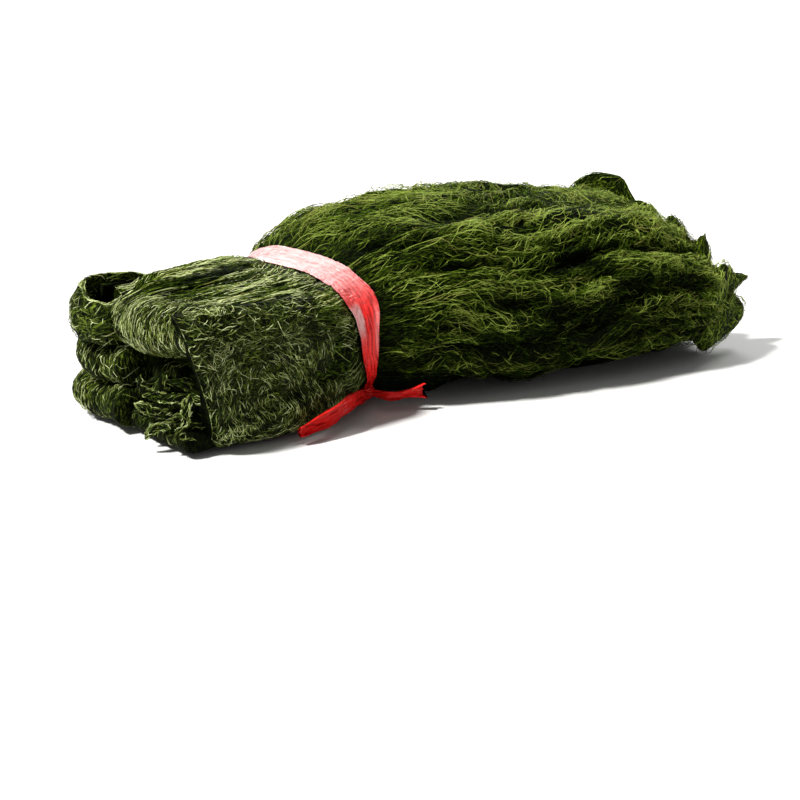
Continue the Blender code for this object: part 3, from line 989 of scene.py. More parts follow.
@dataclass
class SideLayers(Surface):
    """The felted layers down one side of the folded half: u is the distance from their edge, and v is z."""

    name: str
    side: Side
    furthest: float
    edge_low: float
    edge_high: float
    high: float
    low: float = 0.0035
    end_x: float = WAIST_X - 0.024
    felt: float = 0.0072

    def __post_init__(self) -> None:
        """Measures the surface."""
        self.span_u, self.span_v = (0.0, self.end_x), (self.low, self.high)
        self.lumps = Lattice(17 + self.side)

    def edge(self, z: Array) -> Array:
        """x of the free edge at height z."""
        up = (z - self.low) / (self.high - self.low)
        return self.edge_low + (self.edge_high - self.edge_low) * (0.3 * up + 0.7 * step_between(0, 1, up))

    def depth(self, x: Array, z: Array) -> Array:
        """How far out the outer face is at (x, z).

        Args:
            x: Place along the hank.
            z: Height.

        Returns:
            Distances in y.
        """
        up = (z - self.low) / (self.high - self.low)
        edge = self.edge(z)
        along = np.clip((x - edge) / (self.end_x - edge), 0, 1)
        inward = 0.010 * np.abs(2 * up - 1) ** 6 + 0.0085 * along**4 + 0.0010 * np.sin(70 * x + 90 * z)
        lap = 0.020 + 0.16 * (x - 0.040)
        crease = np.exp(-(((z - lap - 0.003) / 0.003) ** 2))
        lip = 0.0026 * step_between(lap + 0.0015, lap - 0.003, z) - 0.0018 * crease
        lump = 0.0011 * self.lumps(x / 0.018, z / 0.012)
        uneven = (lip + lump) * step_between(0.0, 0.012, x - edge)
        return self.furthest - inward + uneven * (self.side is Side.FRONT)

    def place(self, u: Array, v: Array, lift: Array) -> Array:
        """Points at (u, v), that far out. The face curls in over its free edge.

        Args:
            u: Place along the fibres.
            v: Place across them.
            lift: How far out.

        Returns:
            The points.
        """
        u, v, lift = np.broadcast_arrays(u, v, lift)
        x = self.edge(np.clip(v, self.low, self.high)) + u * (1 - self.edge(v) / self.end_x)
        half = self.felt / 2
        near = np.clip(u / half, 0, 1)
        curl = half * (1 - np.sqrt(np.maximum(1 - (1 - near) ** 2, 0)))
        y = self.depth(x, np.clip(v, self.low, self.high)) - curl + lift
        return np.stack([x - 0.5 * lift * (1 - near), self.side * y, v], axis=-1)

    def heading(self, u: Array, v: Array) -> Array:
        """The fibres lie in arches round a place low on the face, and run straight near its top.

        Args:
            u: Place along the fibres.
            v: Place across them.

        Returns:
            Angles to u.
        """
        x = u + 0.010
        arch = np.arctan2(-(x - 0.052), v - 0.024)
        level = step_between(0.052, 0.070, v)
        return arch * (1 - level) * (self.side is Side.FRONT)


@dataclass
class PocketWall(Surface):
    """The back corner of the top layer, which turns upright round a pocket: u goes round it, and v is z."""

    BACK = ((0.046, 0.0510), (0.039, 0.0532), (0.030, 0.0555), (0.020, 0.0590))
    BEND_MIDDLE = (0.008, 0.0385)
    BEND_RADII = (0.0175, 0.0215)
    FRONT = (
        (-0.0078, 0.0235), (-0.0045, 0.0190), (0.0005, 0.0180), (0.0070, 0.0205),
        (0.0150, 0.0255), (0.0250, 0.0325), (0.0340, 0.0400),
    )

    inner: bool = False
    wall: float = 0.0030
    foot: float = 0.0505
    highest: float = 0.0835

    def __post_init__(self) -> None:
        """Lays the path out, from behind round the bend to the front, and measures it."""
        (x, y), (wide, deep) = self.BEND_MIDDLE, self.BEND_RADII
        turn = np.linspace(math.radians(80), math.radians(205), 26)[2:]
        bend = [(x + wide * math.cos(t), y + deep * math.sin(t)) for t in turn]
        self.path = np.array([*self.BACK, *bend, *self.FRONT])
        self.run = run_along(self.path)
        self.span_u, self.span_v = (0.0, float(self.run[-1])), (self.foot, self.highest)

    def rim(self, u: Array) -> Array:
        """Height of the rim at u."""
        share = np.clip(u / self.run[-1], 0, 1)
        return 0.0785 + 0.0040 * step_between(0.0, 0.12, share) - 0.0095 * step_between(0.30, 0.58, share)

    def trace(self, u: Array) -> tuple[Array, Array, Array, Array]:
        """Place on the path and direction out of the pocket at u.

        Args:
            u: Run along the path.

        Returns:
            x and y of the place, and x and y of the direction.
        """
        near = 0.001
        (x, y), (next_x, next_y), (last_x, last_y) = (
            [smooth_through(u + off, self.run, self.path[:, k]) for k in (0, 1)] for off in (0, near, -near)
        )
        ahead_x, ahead_y = next_x - last_x, next_y - last_y
        size = np.maximum(np.hypot(ahead_x, ahead_y), 1e-9)
        return x, y, ahead_y / size, -ahead_x / size

    def place(self, u: Array, v: Array, lift: Array) -> Array:
        """Points at (u, v), that far out of the wall's outer or inner face.

        Args:
            u: Place along the fibres.
            v: Place across them.
            lift: How far out.

        Returns:
            The points.
        """
        u, v, lift = np.broadcast_arrays(u, v, lift)
        x, y, out_x, out_y = self.trace(u)
        rim = self.rim(u)
        z = np.minimum(v, rim + 0.0004 * np.sin(u / 0.004))
        belly = 0.0026 - 0.019 * (np.clip((v - self.foot) / (rim - self.foot), 0, 1) - 0.42) ** 2
        near = np.clip((rim - v) / (self.wall / 2), 0, 1)
        curl = self.wall / 2 * (1 - np.sqrt(np.maximum(1 - (1 - near) ** 2, 0)))
        reach = belly + ((-self.wall + curl - lift) if self.inner else (lift - curl))
        return np.stack([x + out_x * reach, y + out_y * reach, z], axis=-1)


@dataclass
class LockSurface(Surface):
    """A flattened lock of fibre along a path: u is the distance along it, and v goes round it."""

    name: str
    path: Array
    widths: Array
    thickness: float
    thinning: float = 0.0
    facing: Optional[Place] = None
    matting: float = 1.0  # how uneven its matted inside is

    def __post_init__(self) -> None:
        """Works out the path's directions. Its broad side faces the hank's middle line, or facing."""
        self.run = run_along(self.path)
        ahead = np.gradient(self.path, axis=0)
        ahead /= np.linalg.norm(ahead, axis=1, keepdims=True)
        outward = self.path * (0, 1, 1) - (0, *MIDDLE_LINE)
        self.across = np.cross(ahead, outward if self.facing is None else self.facing)
        self.across /= np.linalg.norm(self.across, axis=1, keepdims=True)
        self.up = np.cross(self.across, ahead)
        share = np.linspace(0, 1, len(self.path))
        self.thick = np.minimum(self.thickness, self.widths * 0.7) * (1 - self.thinning * share)
        self.girth = float(np.mean(self.widths)) * 2.4
        self.span_u, self.span_v = (0.0, float(self.run[-1])), ENDLESS

    def place(self, u: Array, v: Array, lift: Array) -> Array:
        """Points at (u, v), that far out of the lock.

        Args:
            u: Place along the fibres.
            v: Place across them.
            lift: How far out.

        Returns:
            The points.
        """
        u, v, lift = np.broadcast_arrays(u, v, lift)
        turn = 2 * math.pi * v / self.girth

        def along(values: Array) -> Array:
            """Values at u, from their values on the path."""
            return np.stack([smooth_through(u, self.run, values[:, k]) for k in range(3)], axis=-1)

        past = np.clip((u - self.run[-1]) / min(0.009, 0.4 * self.run[-1]) + 1, 0, 0.985)
        closing = np.sqrt(1 - past**2)[..., None]
        width = smooth_through(u, self.run, self.widths)[..., None] * closing
        thick = smooth_through(u, self.run, self.thick)[..., None] * closing
        reach = lift[..., None]
        side = np.cos(turn)[..., None] * (width / 2 + reach)
        rise = np.sin(turn)[..., None] * (thick / 2 + reach)
        return along(self.path) + side * along(self.across) + rise * along(self.up)


# ---- strands ---------------------------------------------------------------------------------------


@dataclass(frozen=True)
class StrandKind:
    """How one kind of strand grows on a surface."""

    count: int
    length: Span
    width: Span = (0.00040, 0.00070)
    clump: int = 1  # strands that share a course
    clump_u: float = 0.020
    clump_v: float = 0.0030
    spread: float = 0.12  # radians, between clumps
    stray: float = 0.06  # radians, within a clump
    bend: float = 4.0  # turning for each metre, in radians
    wave: float = 0.25  # radians
    wave_length: Span = (0.010, 0.020)
    lift: Span = (0.0000, 0.0010)
    arch: float = 0.0006  # how far a strand's middle stands off the surface
    weave: float = 0.0004  # how far it goes up and down on its way
    fly: float = 0.0  # how far its far end may stand off
    tint: Span = (0.30, 0.85)  # from 0, deep green, to 1, pale
    hue: float = 0.12  # share of bleached strands
    over: float = 0.0  # how far a strand may pass the surface's edges
    stations: int = 6  # points along a strand
    contrast: float = 0.55  # of the clumps' tints
    glint: float = 0.08  # share of strands painted much paler, as painted glints


@dataclass
class Strands:
    """Polylines with a radius, a tint and a hue at each point."""

    points: Array
    radius: Array
    tint: Array
    hue: Array

    @staticmethod
    def joined(parts: Sequence["Strands"]) -> "Strands":
        """All strands of some groups as one group."""
        values = [[part.points, part.radius, part.tint, part.hue] for part in parts]
        return Strands(*(np.concatenate(same) for same in zip(*values)))


TIP_THINNING = 0.72  # of a strand's radius, at its tips
TIP_SINK = 0.0006  # how far the tips dip into the felt
TIP_SHADE = 0.50  # painted shade: how much darker the tips are painted, where they dip into the felt
CROWN_LIGHT = 120  # painted light: how much brighter a strand is painted for each metre that it arches up off the felt
GLINT_LIGHT = 0.35  # how much brighter a painted glint makes a strand


def grow(
    surface: Surface, kind: StrandKind, rng: np.random.Generator, area: Optional[tuple[Span, Span]] = None
) -> Strands:
    """Walks strands over a surface.

    Args:
        surface: What they lie on.
        kind: How they grow.
        rng: Seeded randomness.
        area: Ranges of u and v for their middles, or the whole surface.

    Returns:
        The strands.
    """
    n, stations = kind.count, kind.stations
    clumps = max(1, n // kind.clump)
    span_u, span_v = area or (surface.span_u, surface.span_v)
    owner = rng.integers(0, clumps, n)
    centre_u, centre_v = rng.uniform(*span_u, clumps)[owner], rng.uniform(*span_v, clumps)[owner]
    together = kind.clump > 1
    offset_u = rng.normal(0, kind.clump_u, n) * together
    offset_v = np.clip(rng.normal(0, kind.clump_v, n), -2.2 * kind.clump_v, 2.2 * kind.clump_v) * together
    length = rng.uniform(*kind.length, n)
    turn = rng.normal(0, kind.spread, clumps)[owner] + rng.normal(0, kind.stray, n)
    bend = rng.normal(0, kind.bend, clumps)[owner] + rng.normal(0, 0.4 * kind.bend, n)
    phase = rng.uniform(0, 2 * math.pi, clumps)[owner] + rng.normal(0, 0.7, n)
    period = rng.uniform(*kind.wave_length, clumps)[owner] * rng.uniform(0.85, 1.15, n)
    strength = kind.wave * rng.uniform(0.4, 1.4, n)
    step = length / (stations - 1)
    u, v = np.empty((n, stations)), np.empty((n, stations))
    middle = stations // 2
    u[:, middle], v[:, middle] = centre_u + offset_u, centre_v + offset_v
    for way, reach in ((1, stations - 1 - middle), (-1, middle)):
        for k in range(reach):
            i = middle + way * k
            s = (i + 0.5 * way - middle) * step
            course = turn + bend * s + strength * np.cos(phase + 2 * math.pi * s / period)
            course = course + surface.heading(u[:, i], v[:, i])
            u[:, i + way] = u[:, i] + way * step * np.cos(course)
            v[:, i + way] = v[:, i] + way * step * np.sin(course)
    u, v = surface.held(u, v, kind.over)
    share = np.linspace(-1, 1, stations)[None, :]
    s = share * length[:, None] / 2
    bell = 1 - share**2
    across = offset_v / max(kind.clump_v, 1e-9)
    crown = (kind.arch * rng.uniform(0.3, 1.6, clumps)[owner] * np.exp(-0.35 * across**2))[:, None]
    swing = kind.weave * np.cos(rng.uniform(0, 6.28, n)[:, None] + 2 * math.pi * s / (0.8 * period[:, None]))
    lift = rng.uniform(*kind.lift, n)[:, None] + crown * bell - TIP_SINK * share**4 + swing
    lift = lift + kind.fly * rng.uniform(0, 1, n)[:, None] ** 3 * np.maximum(share, 0) ** 2
    thin = 1 - TIP_THINNING * np.abs(share) ** 3
    radius = rng.uniform(*kind.width, n)[:, None] / 2 * thin
    own = rng.uniform(0, 1, clumps)[owner] * kind.contrast + rng.uniform(0, 1, n) * (1 - kind.contrast)
    own = 1.25 * own**1.4
    # The surface's painted light and painted shade are added to each strand's own tone.
    tint = (kind.tint[0] + (kind.tint[1] - kind.tint[0]) * own)[:, None] + surface.light(u, v)
    # Painted glints: a share of the strands is painted much paler.
    tint = tint + GLINT_LIGHT * (rng.random(n) < kind.glint)[:, None]
    # Painted light where a strand arches up off the felt, and painted shade at its tips, where they dip into
    # it.
    tint = tint + CROWN_LIGHT * np.clip(crown * bell, 0, 0.0020) + 0.08 - TIP_SHADE * np.abs(share) ** 3
    hue = np.where(rng.random(n) < kind.hue, rng.uniform(0.4, 1.0, n), rng.uniform(0, 0.25, n))
    points = surface.place(u, v, lift + radius)
    return Strands(points, radius, np.clip(tint, 0.02, 1), np.repeat(hue[:, None], stations, axis=1))


class StrandSweep:
    """Sweeps a tube with three sides along each strand, with one Geometry Nodes tree for all kinds."""

    SIDES = 3

    def __init__(self) -> None:
        """Builds the tree."""
        self.tree = bpy.data.node_groups.new("strand_sweep", "GeometryNodeTree")
        face, nodes = self.tree.interface, self.tree.nodes
        face.new_socket("Geometry", in_out="INPUT", socket_type="NodeSocketGeometry")
        self.sides = face.new_socket("Sides", in_out="INPUT", socket_type="NodeSocketInt")
        self.stoutness = face.new_socket("Stoutness", in_out="INPUT", socket_type="NodeSocketFloat")
        self.finish = face.new_socket("Finish", in_out="INPUT", socket_type="NodeSocketMaterial")
        face.new_socket("Geometry", in_out="OUTPUT", socket_type="NodeSocketGeometry")
        given, result = nodes.new("NodeGroupInput"), nodes.new("NodeGroupOutput")
        curves, ring = nodes.new("GeometryNodeMeshToCurve"), nodes.new("GeometryNodeCurvePrimitiveCircle")
        reach, stout = nodes.new("GeometryNodeInputNamedAttribute"), nodes.new("ShaderNodeMath")
        tubes, real = nodes.new("GeometryNodeCurveToMesh"), nodes.new("GeometryNodeRealizeInstances")
        dressed = nodes.new("GeometryNodeSetMaterial")
        reach.data_type, stout.operation = "FLOAT", "MULTIPLY"
        reach.inputs["Name"].default_value = "reach"
        ring.inputs["Radius"].default_value = 1.0
        tubes.inputs["Fill Caps"].default_value = True
        for source, out, target, into in (
            (given, "Geometry", curves, "Mesh"),
            (reach, "Attribute", stout, 0),
            (given, "Stoutness", stout, 1),
            (stout, 0, tubes, "Scale"),
            (given, "Sides", ring, "Resolution"),
            (curves, "Curve", tubes, "Curve"),
            (ring, "Curve", tubes, "Profile Curve"),
            (tubes, "Mesh", real, "Geometry"),
            (real, "Geometry", dressed, "Geometry"),
            (given, "Finish", dressed, "Material"),
            (dressed, "Geometry", result, "Geometry"),
        ):
            self.tree.links.new(source.outputs[out], target.inputs[into])

    def sweep(self, name: str, strands: Strands, finish: Material) -> Object:
        """Makes one piece of many strands.

        Args:
            name: The piece's name.
            strands: Its strands.
            finish: Its material.

        Returns:
            The object, with a plain mesh and a map of its own for each strand.
        """
        count, stations = strands.radius.shape
        placed = strands.points.reshape(-1, 3) + HANK_PLACE
        radius = strands.radius.ravel()
        placed[:, 2] = np.maximum(placed[:, 2], FLOOR_CLEARANCE + radius)
        index = np.arange(count * stations).reshape(count, stations)
        lines = np.stack([index[:, :-1], index[:, 1:]], axis=-1).reshape(-1, 2)
        mesh = bpy.data.meshes.new(name + "_lines")
        mesh.vertices.add(len(placed))
        mesh.vertices.foreach_set("co", placed.ravel())
        mesh.edges.add(len(lines))
        mesh.edges.foreach_set("vertices", lines.astype(np.int32).ravel())
        set_values(mesh, "reach", radius)
        set_values(mesh, "tint", strands.tint)
        set_values(mesh, "hue", strands.hue)
        set_values(mesh, "strand", np.repeat(np.arange(count), stations))
        set_values(mesh, "station", np.tile(np.arange(stations), count))
        made = put(name, mesh)
        change = made.modifiers.new("sweep", "NODES")
        change.node_group = self.tree
        change[self.sides.identifier] = self.SIDES
        change[self.stoutness.identifier] = 1.0
        change[self.finish.identifier] = finish
        graph = bpy.context.evaluated_depsgraph_get()
        swept = bpy.data.meshes.new_from_object(made.evaluated_get(graph))
        made.modifiers.clear()
        made.data = swept
        bpy.data.meshes.remove(mesh)
        swept.name = name
        swept.polygons.foreach_set("use_smooth", np.ones(len(swept.polygons), bool))
        self.map_strands(swept, count, stations)
        return made

    def map_strands(self, mesh: bpy.types.Mesh, count: int, stations: int) -> None:
        """Gives each strand its own cell of a map for baking.

        Args:
            mesh: The swept strands.
            count: How many there are.
            stations: Points along each.
        """
        values = {}
        for key in ("strand", "station"):
            values[key] = read(mesh.attributes[key].data, "value", np.float32)
            mesh.attributes.remove(mesh.attributes[key])
        corner, total = read(mesh.loops, "vertex_index"), read(mesh.polygons, "loop_total")
        face = np.repeat(np.arange(len(total)), total)
        side = (corner % self.SIDES).astype(float)
        last = np.zeros(len(total), bool)
        np.logical_or.at(last, face, side == self.SIDES - 1)
        side = np.where((side == 0) & last[face] & (total[face] == 4), self.SIDES, side)
        strand, station = np.rint(values["strand"][corner]), values["station"][corner]
        cap = (total[face] == 3) * np.where(side == 1, 0.035, 0.0)
        columns = math.ceil(math.sqrt(count))
        u = (strand % columns + 0.12 + 0.76 * side / self.SIDES) / columns
        v = (strand // columns + 0.06 + 0.84 * station / (stations - 1) + cap) / columns
        set_map(mesh, "OFBake", np.stack([u, v], axis=-1))


# ---- the pieces ------------------------------------------------------------------------------------


def keep(made: Object, replaced: Optional[str] = None) -> None:
    """Hands a finished piece to the frame and reports it.

    Args:
        made: The piece.
        replaced: The node that it stands for, if any.
    """
    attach(made, "root")
    if replaced:
        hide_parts(replaced)
    faces = sum(len(p.vertices) - 2 for p in made.data.polygons)
    log.info("%s: %d triangles", made.name, faces)


@dataclass
class HankCore:
    """The hank's matted body, with its locks and grooves."""

    surface: HankSurface
    rows: int = 258
    around: int = 356
    lumps: int = 150  # round the hank

    def build(self, finish: Material) -> Object:
        """Makes the piece.

        Args:
            finish: Its material.

        Returns:
            The piece.
        """
        round_it = np.linspace(0, 2 * math.pi, self.around, endpoint=False)
        x, angle = grid(np.linspace(CORE_START, CORE_END, self.rows), round_it)
        rough = Lattice(21, self.lumps)
        line = self.surface.line_at(x, angle)
        matted = 0.0007 * rough(x / 0.007, line * self.lumps / (2 * math.pi))
        points = self.surface.at(x, angle, matted)
        fibres = np.stack([x, line * GIRTH_RADIUS], axis=-1)
        # The core's shade carries the surface's painted shade and the marks' painted light and shade.
        shade = 0.55 + self.surface.light(x, line * GIRTH_RADIUS)
        return Body("seaweed_core", points, fibres, np.clip(shade, 0.05, 1)).build(finish)


BUNDLE_ROUTES = (
    (
        (0.004, 0.0125, 0.0715), (0.019, 0.0080, 0.0788), (0.040, 0.0030, 0.0815), (0.070, 0.0050, 0.0825),
        (0.100, 0.012, 0.0800),
    ),
    (
        (0.013, 0.0190, 0.0705), (0.028, 0.0165, 0.0775), (0.048, 0.0150, 0.0815), (0.073, 0.0190, 0.0820),
        (0.098, 0.026, 0.0795),
    ),
    (
        (0.027, 0.0280, 0.0690), (0.041, 0.0285, 0.0745), (0.057, 0.0300, 0.0785), (0.077, 0.0335, 0.0800),
        (0.094, 0.038, 0.0775),
    ),
    (
        (0.040, 0.0390, 0.0680), (0.052, 0.0400, 0.0730), (0.065, 0.0430, 0.0755), (0.079, 0.0460, 0.0760),
        (0.092, 0.049, 0.0740),
    ),
)
FROND_ROUTES = (
    (
        (0.000, -0.006, 0.037), (-0.001, -0.013, 0.031), (0.002, -0.025, 0.0295), (0.007, -0.039, 0.0315),
        (0.014, -0.053, 0.0300),
    ),
    (
        (0.006, -0.050, 0.0350), (0.003, -0.0495, 0.0310), (0.002, -0.0490, 0.0265), (0.003, -0.0480, 0.0215),
        (0.001, -0.0470, 0.0175),
    ),
    (
        (0.006, -0.030, 0.0210), (0.001, -0.027, 0.0205), (-0.003, -0.023, 0.0215), (-0.006, -0.018, 0.0240),
        (-0.008, -0.014, 0.0250),
    ),
    (
        (0.006, -0.036, 0.0120), (0.000, -0.034, 0.0150), (-0.004, -0.031, 0.0150), (-0.008, -0.029, 0.0125),
        (-0.010, -0.027, 0.0085),
    ),
)
TUFT_PLACES = (
    (0.004, -0.016, 0.036), (0.004, -0.032, 0.040), (0.008, -0.044, 0.040), (0.002, -0.040, 0.014),
    (0.004, -0.050, 0.012), (-0.001, -0.012, 0.018), (0.006, -0.046, 0.024), (0.001, -0.020, 0.010),
)


@dataclass
class FoldedEnd:
    """The folded end: the top layers rolled over it, those that turn back below, a pocket and the sides."""

    roll: TurnedLayers = field(
        default_factory=lambda: TurnedLayers(
            "top_roll", -0.003, 0.0795, 0.056, -0.0545, 0.026, fold=Fold.ROLL
        )
    )
    folds: tuple[TurnedLayers, ...] = field(
        default_factory=lambda: (
            TurnedLayers(
                "upper_lobe", -0.005, 0.0485, 0.0270, 0.0110, 0.0650, 0.006, fold=Fold.LOBE, round=0.0012
            ),
            TurnedLayers(
                "lower_lobe", -0.006, 0.0255, 0.0035, 0.0085, 0.0660, 0.006, fold=Fold.LOBE, round=0.0012
            ),
            TurnedLayers("upper_curl", 0.009, 0.0450, 0.0310, -0.0300, -0.0020, round=0.0020),
            TurnedLayers("middle_curl", 0.012, 0.0290, 0.0180, -0.0380, 0.0040, round=0.0030),
            TurnedLayers("lower_curl", 0.000, 0.0145, 0.0030, -0.0530, 0.0100),
        )
    )
    front: SideLayers = field(
        default_factory=lambda: SideLayers("front_wrap", Side.FRONT, 0.0605, 0.017, -0.002, 0.0795)
    )
    back: SideLayers = field(
        default_factory=lambda: SideLayers("back_wrap", Side.BACK, 0.0660, 0.010, 0.012, 0.0770)
    )
    pocket: PocketWall = field(default_factory=PocketWall)
    pocket_inside: PocketWall = field(default_factory=lambda: PocketWall(inner=True))
    bundle_widths: tuple[float, ...] = (0.010, 0.015, 0.017, 0.016, 0.013)
    frond_widths: tuple[float, ...] = (0.6, 1.0, 0.85, 1.0, 0.6)
    torn_widths: tuple[float, ...] = (0.8, 1.0, 0.9, 0.75, 0.5)
    roll_grid: tuple[int, int] = (104, 74)  # points across it and round its nose
    fold_grid: tuple[int, int] = (64, 56)
    side_grid: tuple[int, int] = (104, 62)  # points along it and up
    wall_grid: tuple[int, int] = (96, 26)

    @staticmethod
    def turned_body(layers: TurnedLayers, rows: int, around: int) -> Body:
        """The body of layers that turn back on themselves, uneven and felted.

        Args:
            layers: The layers.
            rows: Places across.
            around: Places round the nose.

        Returns:
            The body.
        """
        y, u = grid(np.linspace(layers.start, layers.end, rows), np.linspace(0, layers.length, around))
        seed = seed_of(layers.name)
        lump, fine = Lattice(seed), Lattice(seed + 1)
        relief = 0.0012 * lump(u / 0.016, y / 0.009) + 0.0005 * fine(u / 0.009, y / 0.0022)
        rings = layers.place(u, y, relief)
        shade = 0.44 + 0.30 * lump(u / 0.012, y / 0.006 + 7)
        fibres = np.stack([u, y], axis=-1)
        ends = np.minimum(y - layers.start, layers.end - y) < layers.round
        fibres[ends] = rings[ends][:, (2, 0)]
        # Painted shade: the curls sit back in the cavity and are painted darker, and darker still on their
        # closing ends.
        if layers.fold is Fold.CURL:
            shade = 0.45 * shade * np.where(ends, 0.5, 1.0)
        return Body(layers.name, rings, fibres, np.clip(shade, 0.05, 1))

    def side_body(self, layers: SideLayers) -> Body:
        """The body of the layers down one side: an outer face, and a plain inner one.

        Args:
            layers: The layers.

        Returns:
            The body.
        """
        along = np.linspace(0, layers.end_x, self.side_grid[0])
        u, v = grid(along, np.linspace(layers.low, layers.high, self.side_grid[1]))
        fine = Lattice(31 + layers.side)
        outer = layers.place(u, v, 0.0003 * fine(u / 0.005, v / 0.0025))
        back_u, back_v = grid(along, np.linspace(layers.high, layers.low, 12))
        inner = layers.place(back_u, back_v, np.zeros(back_v.shape))
        curl = layers.felt * np.clip(back_u / (layers.felt / 2), 0.15, 1) ** 0.5
        inner[..., 1] -= layers.side * curl
        rings = np.concatenate([outer, inner], axis=1)
        flat_u, flat_v = np.concatenate([u, back_u], axis=1), np.concatenate([v, back_v], axis=1)
        # Painted shade: darker low down, along the curled free edge, and on the inner face.
        shade = 0.50 + 0.3 * fine(flat_u / 0.02, flat_v / 0.02) - 0.2 * step_between(0.024, 0.010, flat_v)
        shade = shade * step_between(-0.0002, 0.0024, flat_u)
        shade[:, outer.shape[1]:] = 0.05
        return Body(layers.name, rings, np.stack([flat_u, flat_v], axis=-1), np.clip(shade, 0.1, 1))

    def pocket_body(self) -> Body:
        """The upright wall of the pocket.

        Returns:
            The body.
        """
        along, upward = self.wall_grid
        u, up = grid(np.linspace(0, self.pocket.run[-1], along), np.linspace(0, 1, upward))
        v = self.pocket.foot + (self.pocket.rim(u) - self.pocket.foot) * up
        lump = Lattice(41)
        outer = self.pocket.place(u, v, 0.0006 * lump(u / 0.006, v / 0.005))
        inner = self.pocket_inside.place(u, v[:, ::-1], 0.0005 * lump(u / 0.006 + 30, v / 0.005))
        rings = np.concatenate([outer, inner], axis=1)
        flat = np.stack([np.tile(u, (1, 2)), np.concatenate([v, v[:, ::-1]], axis=1)], axis=-1)
        # Painted light: the inner face is painted lighter than the outer one, against the pocket's own
        # shadow.
        shade = np.concatenate([np.full(u.shape, 0.6), np.full(u.shape, 0.85)], axis=1)
        return Body("pocket_wall", rings, flat, shade)

    def bundle(self) -> list[LockSurface]:
        """Straight locks from the pocket's rim over the top to the ribbon.

        Returns:
            The locks.
        """
        raised, widths = (0, 0, 0.0012), np.array(self.bundle_widths)
        return [
            LockSurface(f"bundle_lock_{n}", np.array(route) + raised, widths, 0.0076, 0.0, (0, 0, 1))
            for n, route in enumerate(BUNDLE_ROUTES)
        ]

    def fronds(self) -> list[LockSurface]:
        """Long torn shreds that hang out between the curls.

        Returns:
            The fronds.
        """
        widths, facing = 0.0052 * np.array(self.frond_widths), (-1.0, -0.3, 0.5)
        return [
            LockSurface(f"frond_{n}", np.array(route), widths, 0.0020, 0.3, facing)
            for n, route in enumerate(FROND_ROUTES)
        ]

    def tufts(self) -> list[LockSurface]:
        """Short torn tufts that stick out between the curls.

        Returns:
            The tufts.
        """
        rng = np.random.default_rng(23)
        made = []
        for n, place in enumerate(TUFT_PLACES):
            ahead = np.array([-0.6 - 0.5 * rng.random(), rng.uniform(-0.8, 0.8), rng.uniform(-0.7, 0.6)])
            bend = rng.uniform(-0.8, 0.8, 3)
            share = np.linspace(0, 1, 5)[:, None]
            length = rng.uniform(0.007, 0.012)
            path = np.array(place) - 0.3 * length * ahead + length * (share * ahead + 0.5 * share**2 * bend)
            widths = rng.uniform(0.004, 0.007) * np.array(self.torn_widths)
            facing = tuple(rng.uniform(-1, 1, 3))
            made.append(LockSurface(f"torn_tuft_{n}", path, widths, 0.0018, 0.5, facing))
        return made

    def build(self, finish: Material, loose: Material) -> list[Object]:
        """Makes the pieces.

        Args:
            finish: The felt of the flat layers.
            loose: The felt of the rolled and turned ones.

        Returns:
            The pieces.
        """
        turned = [self.turned_body(self.roll, *self.roll_grid)]
        turned += [self.turned_body(layers, *self.fold_grid) for layers in self.folds]
        flat = [self.side_body(self.front), self.side_body(self.back), self.pocket_body()]
        return [body.build(loose) for body in turned] + [body.build(finish) for body in flat]


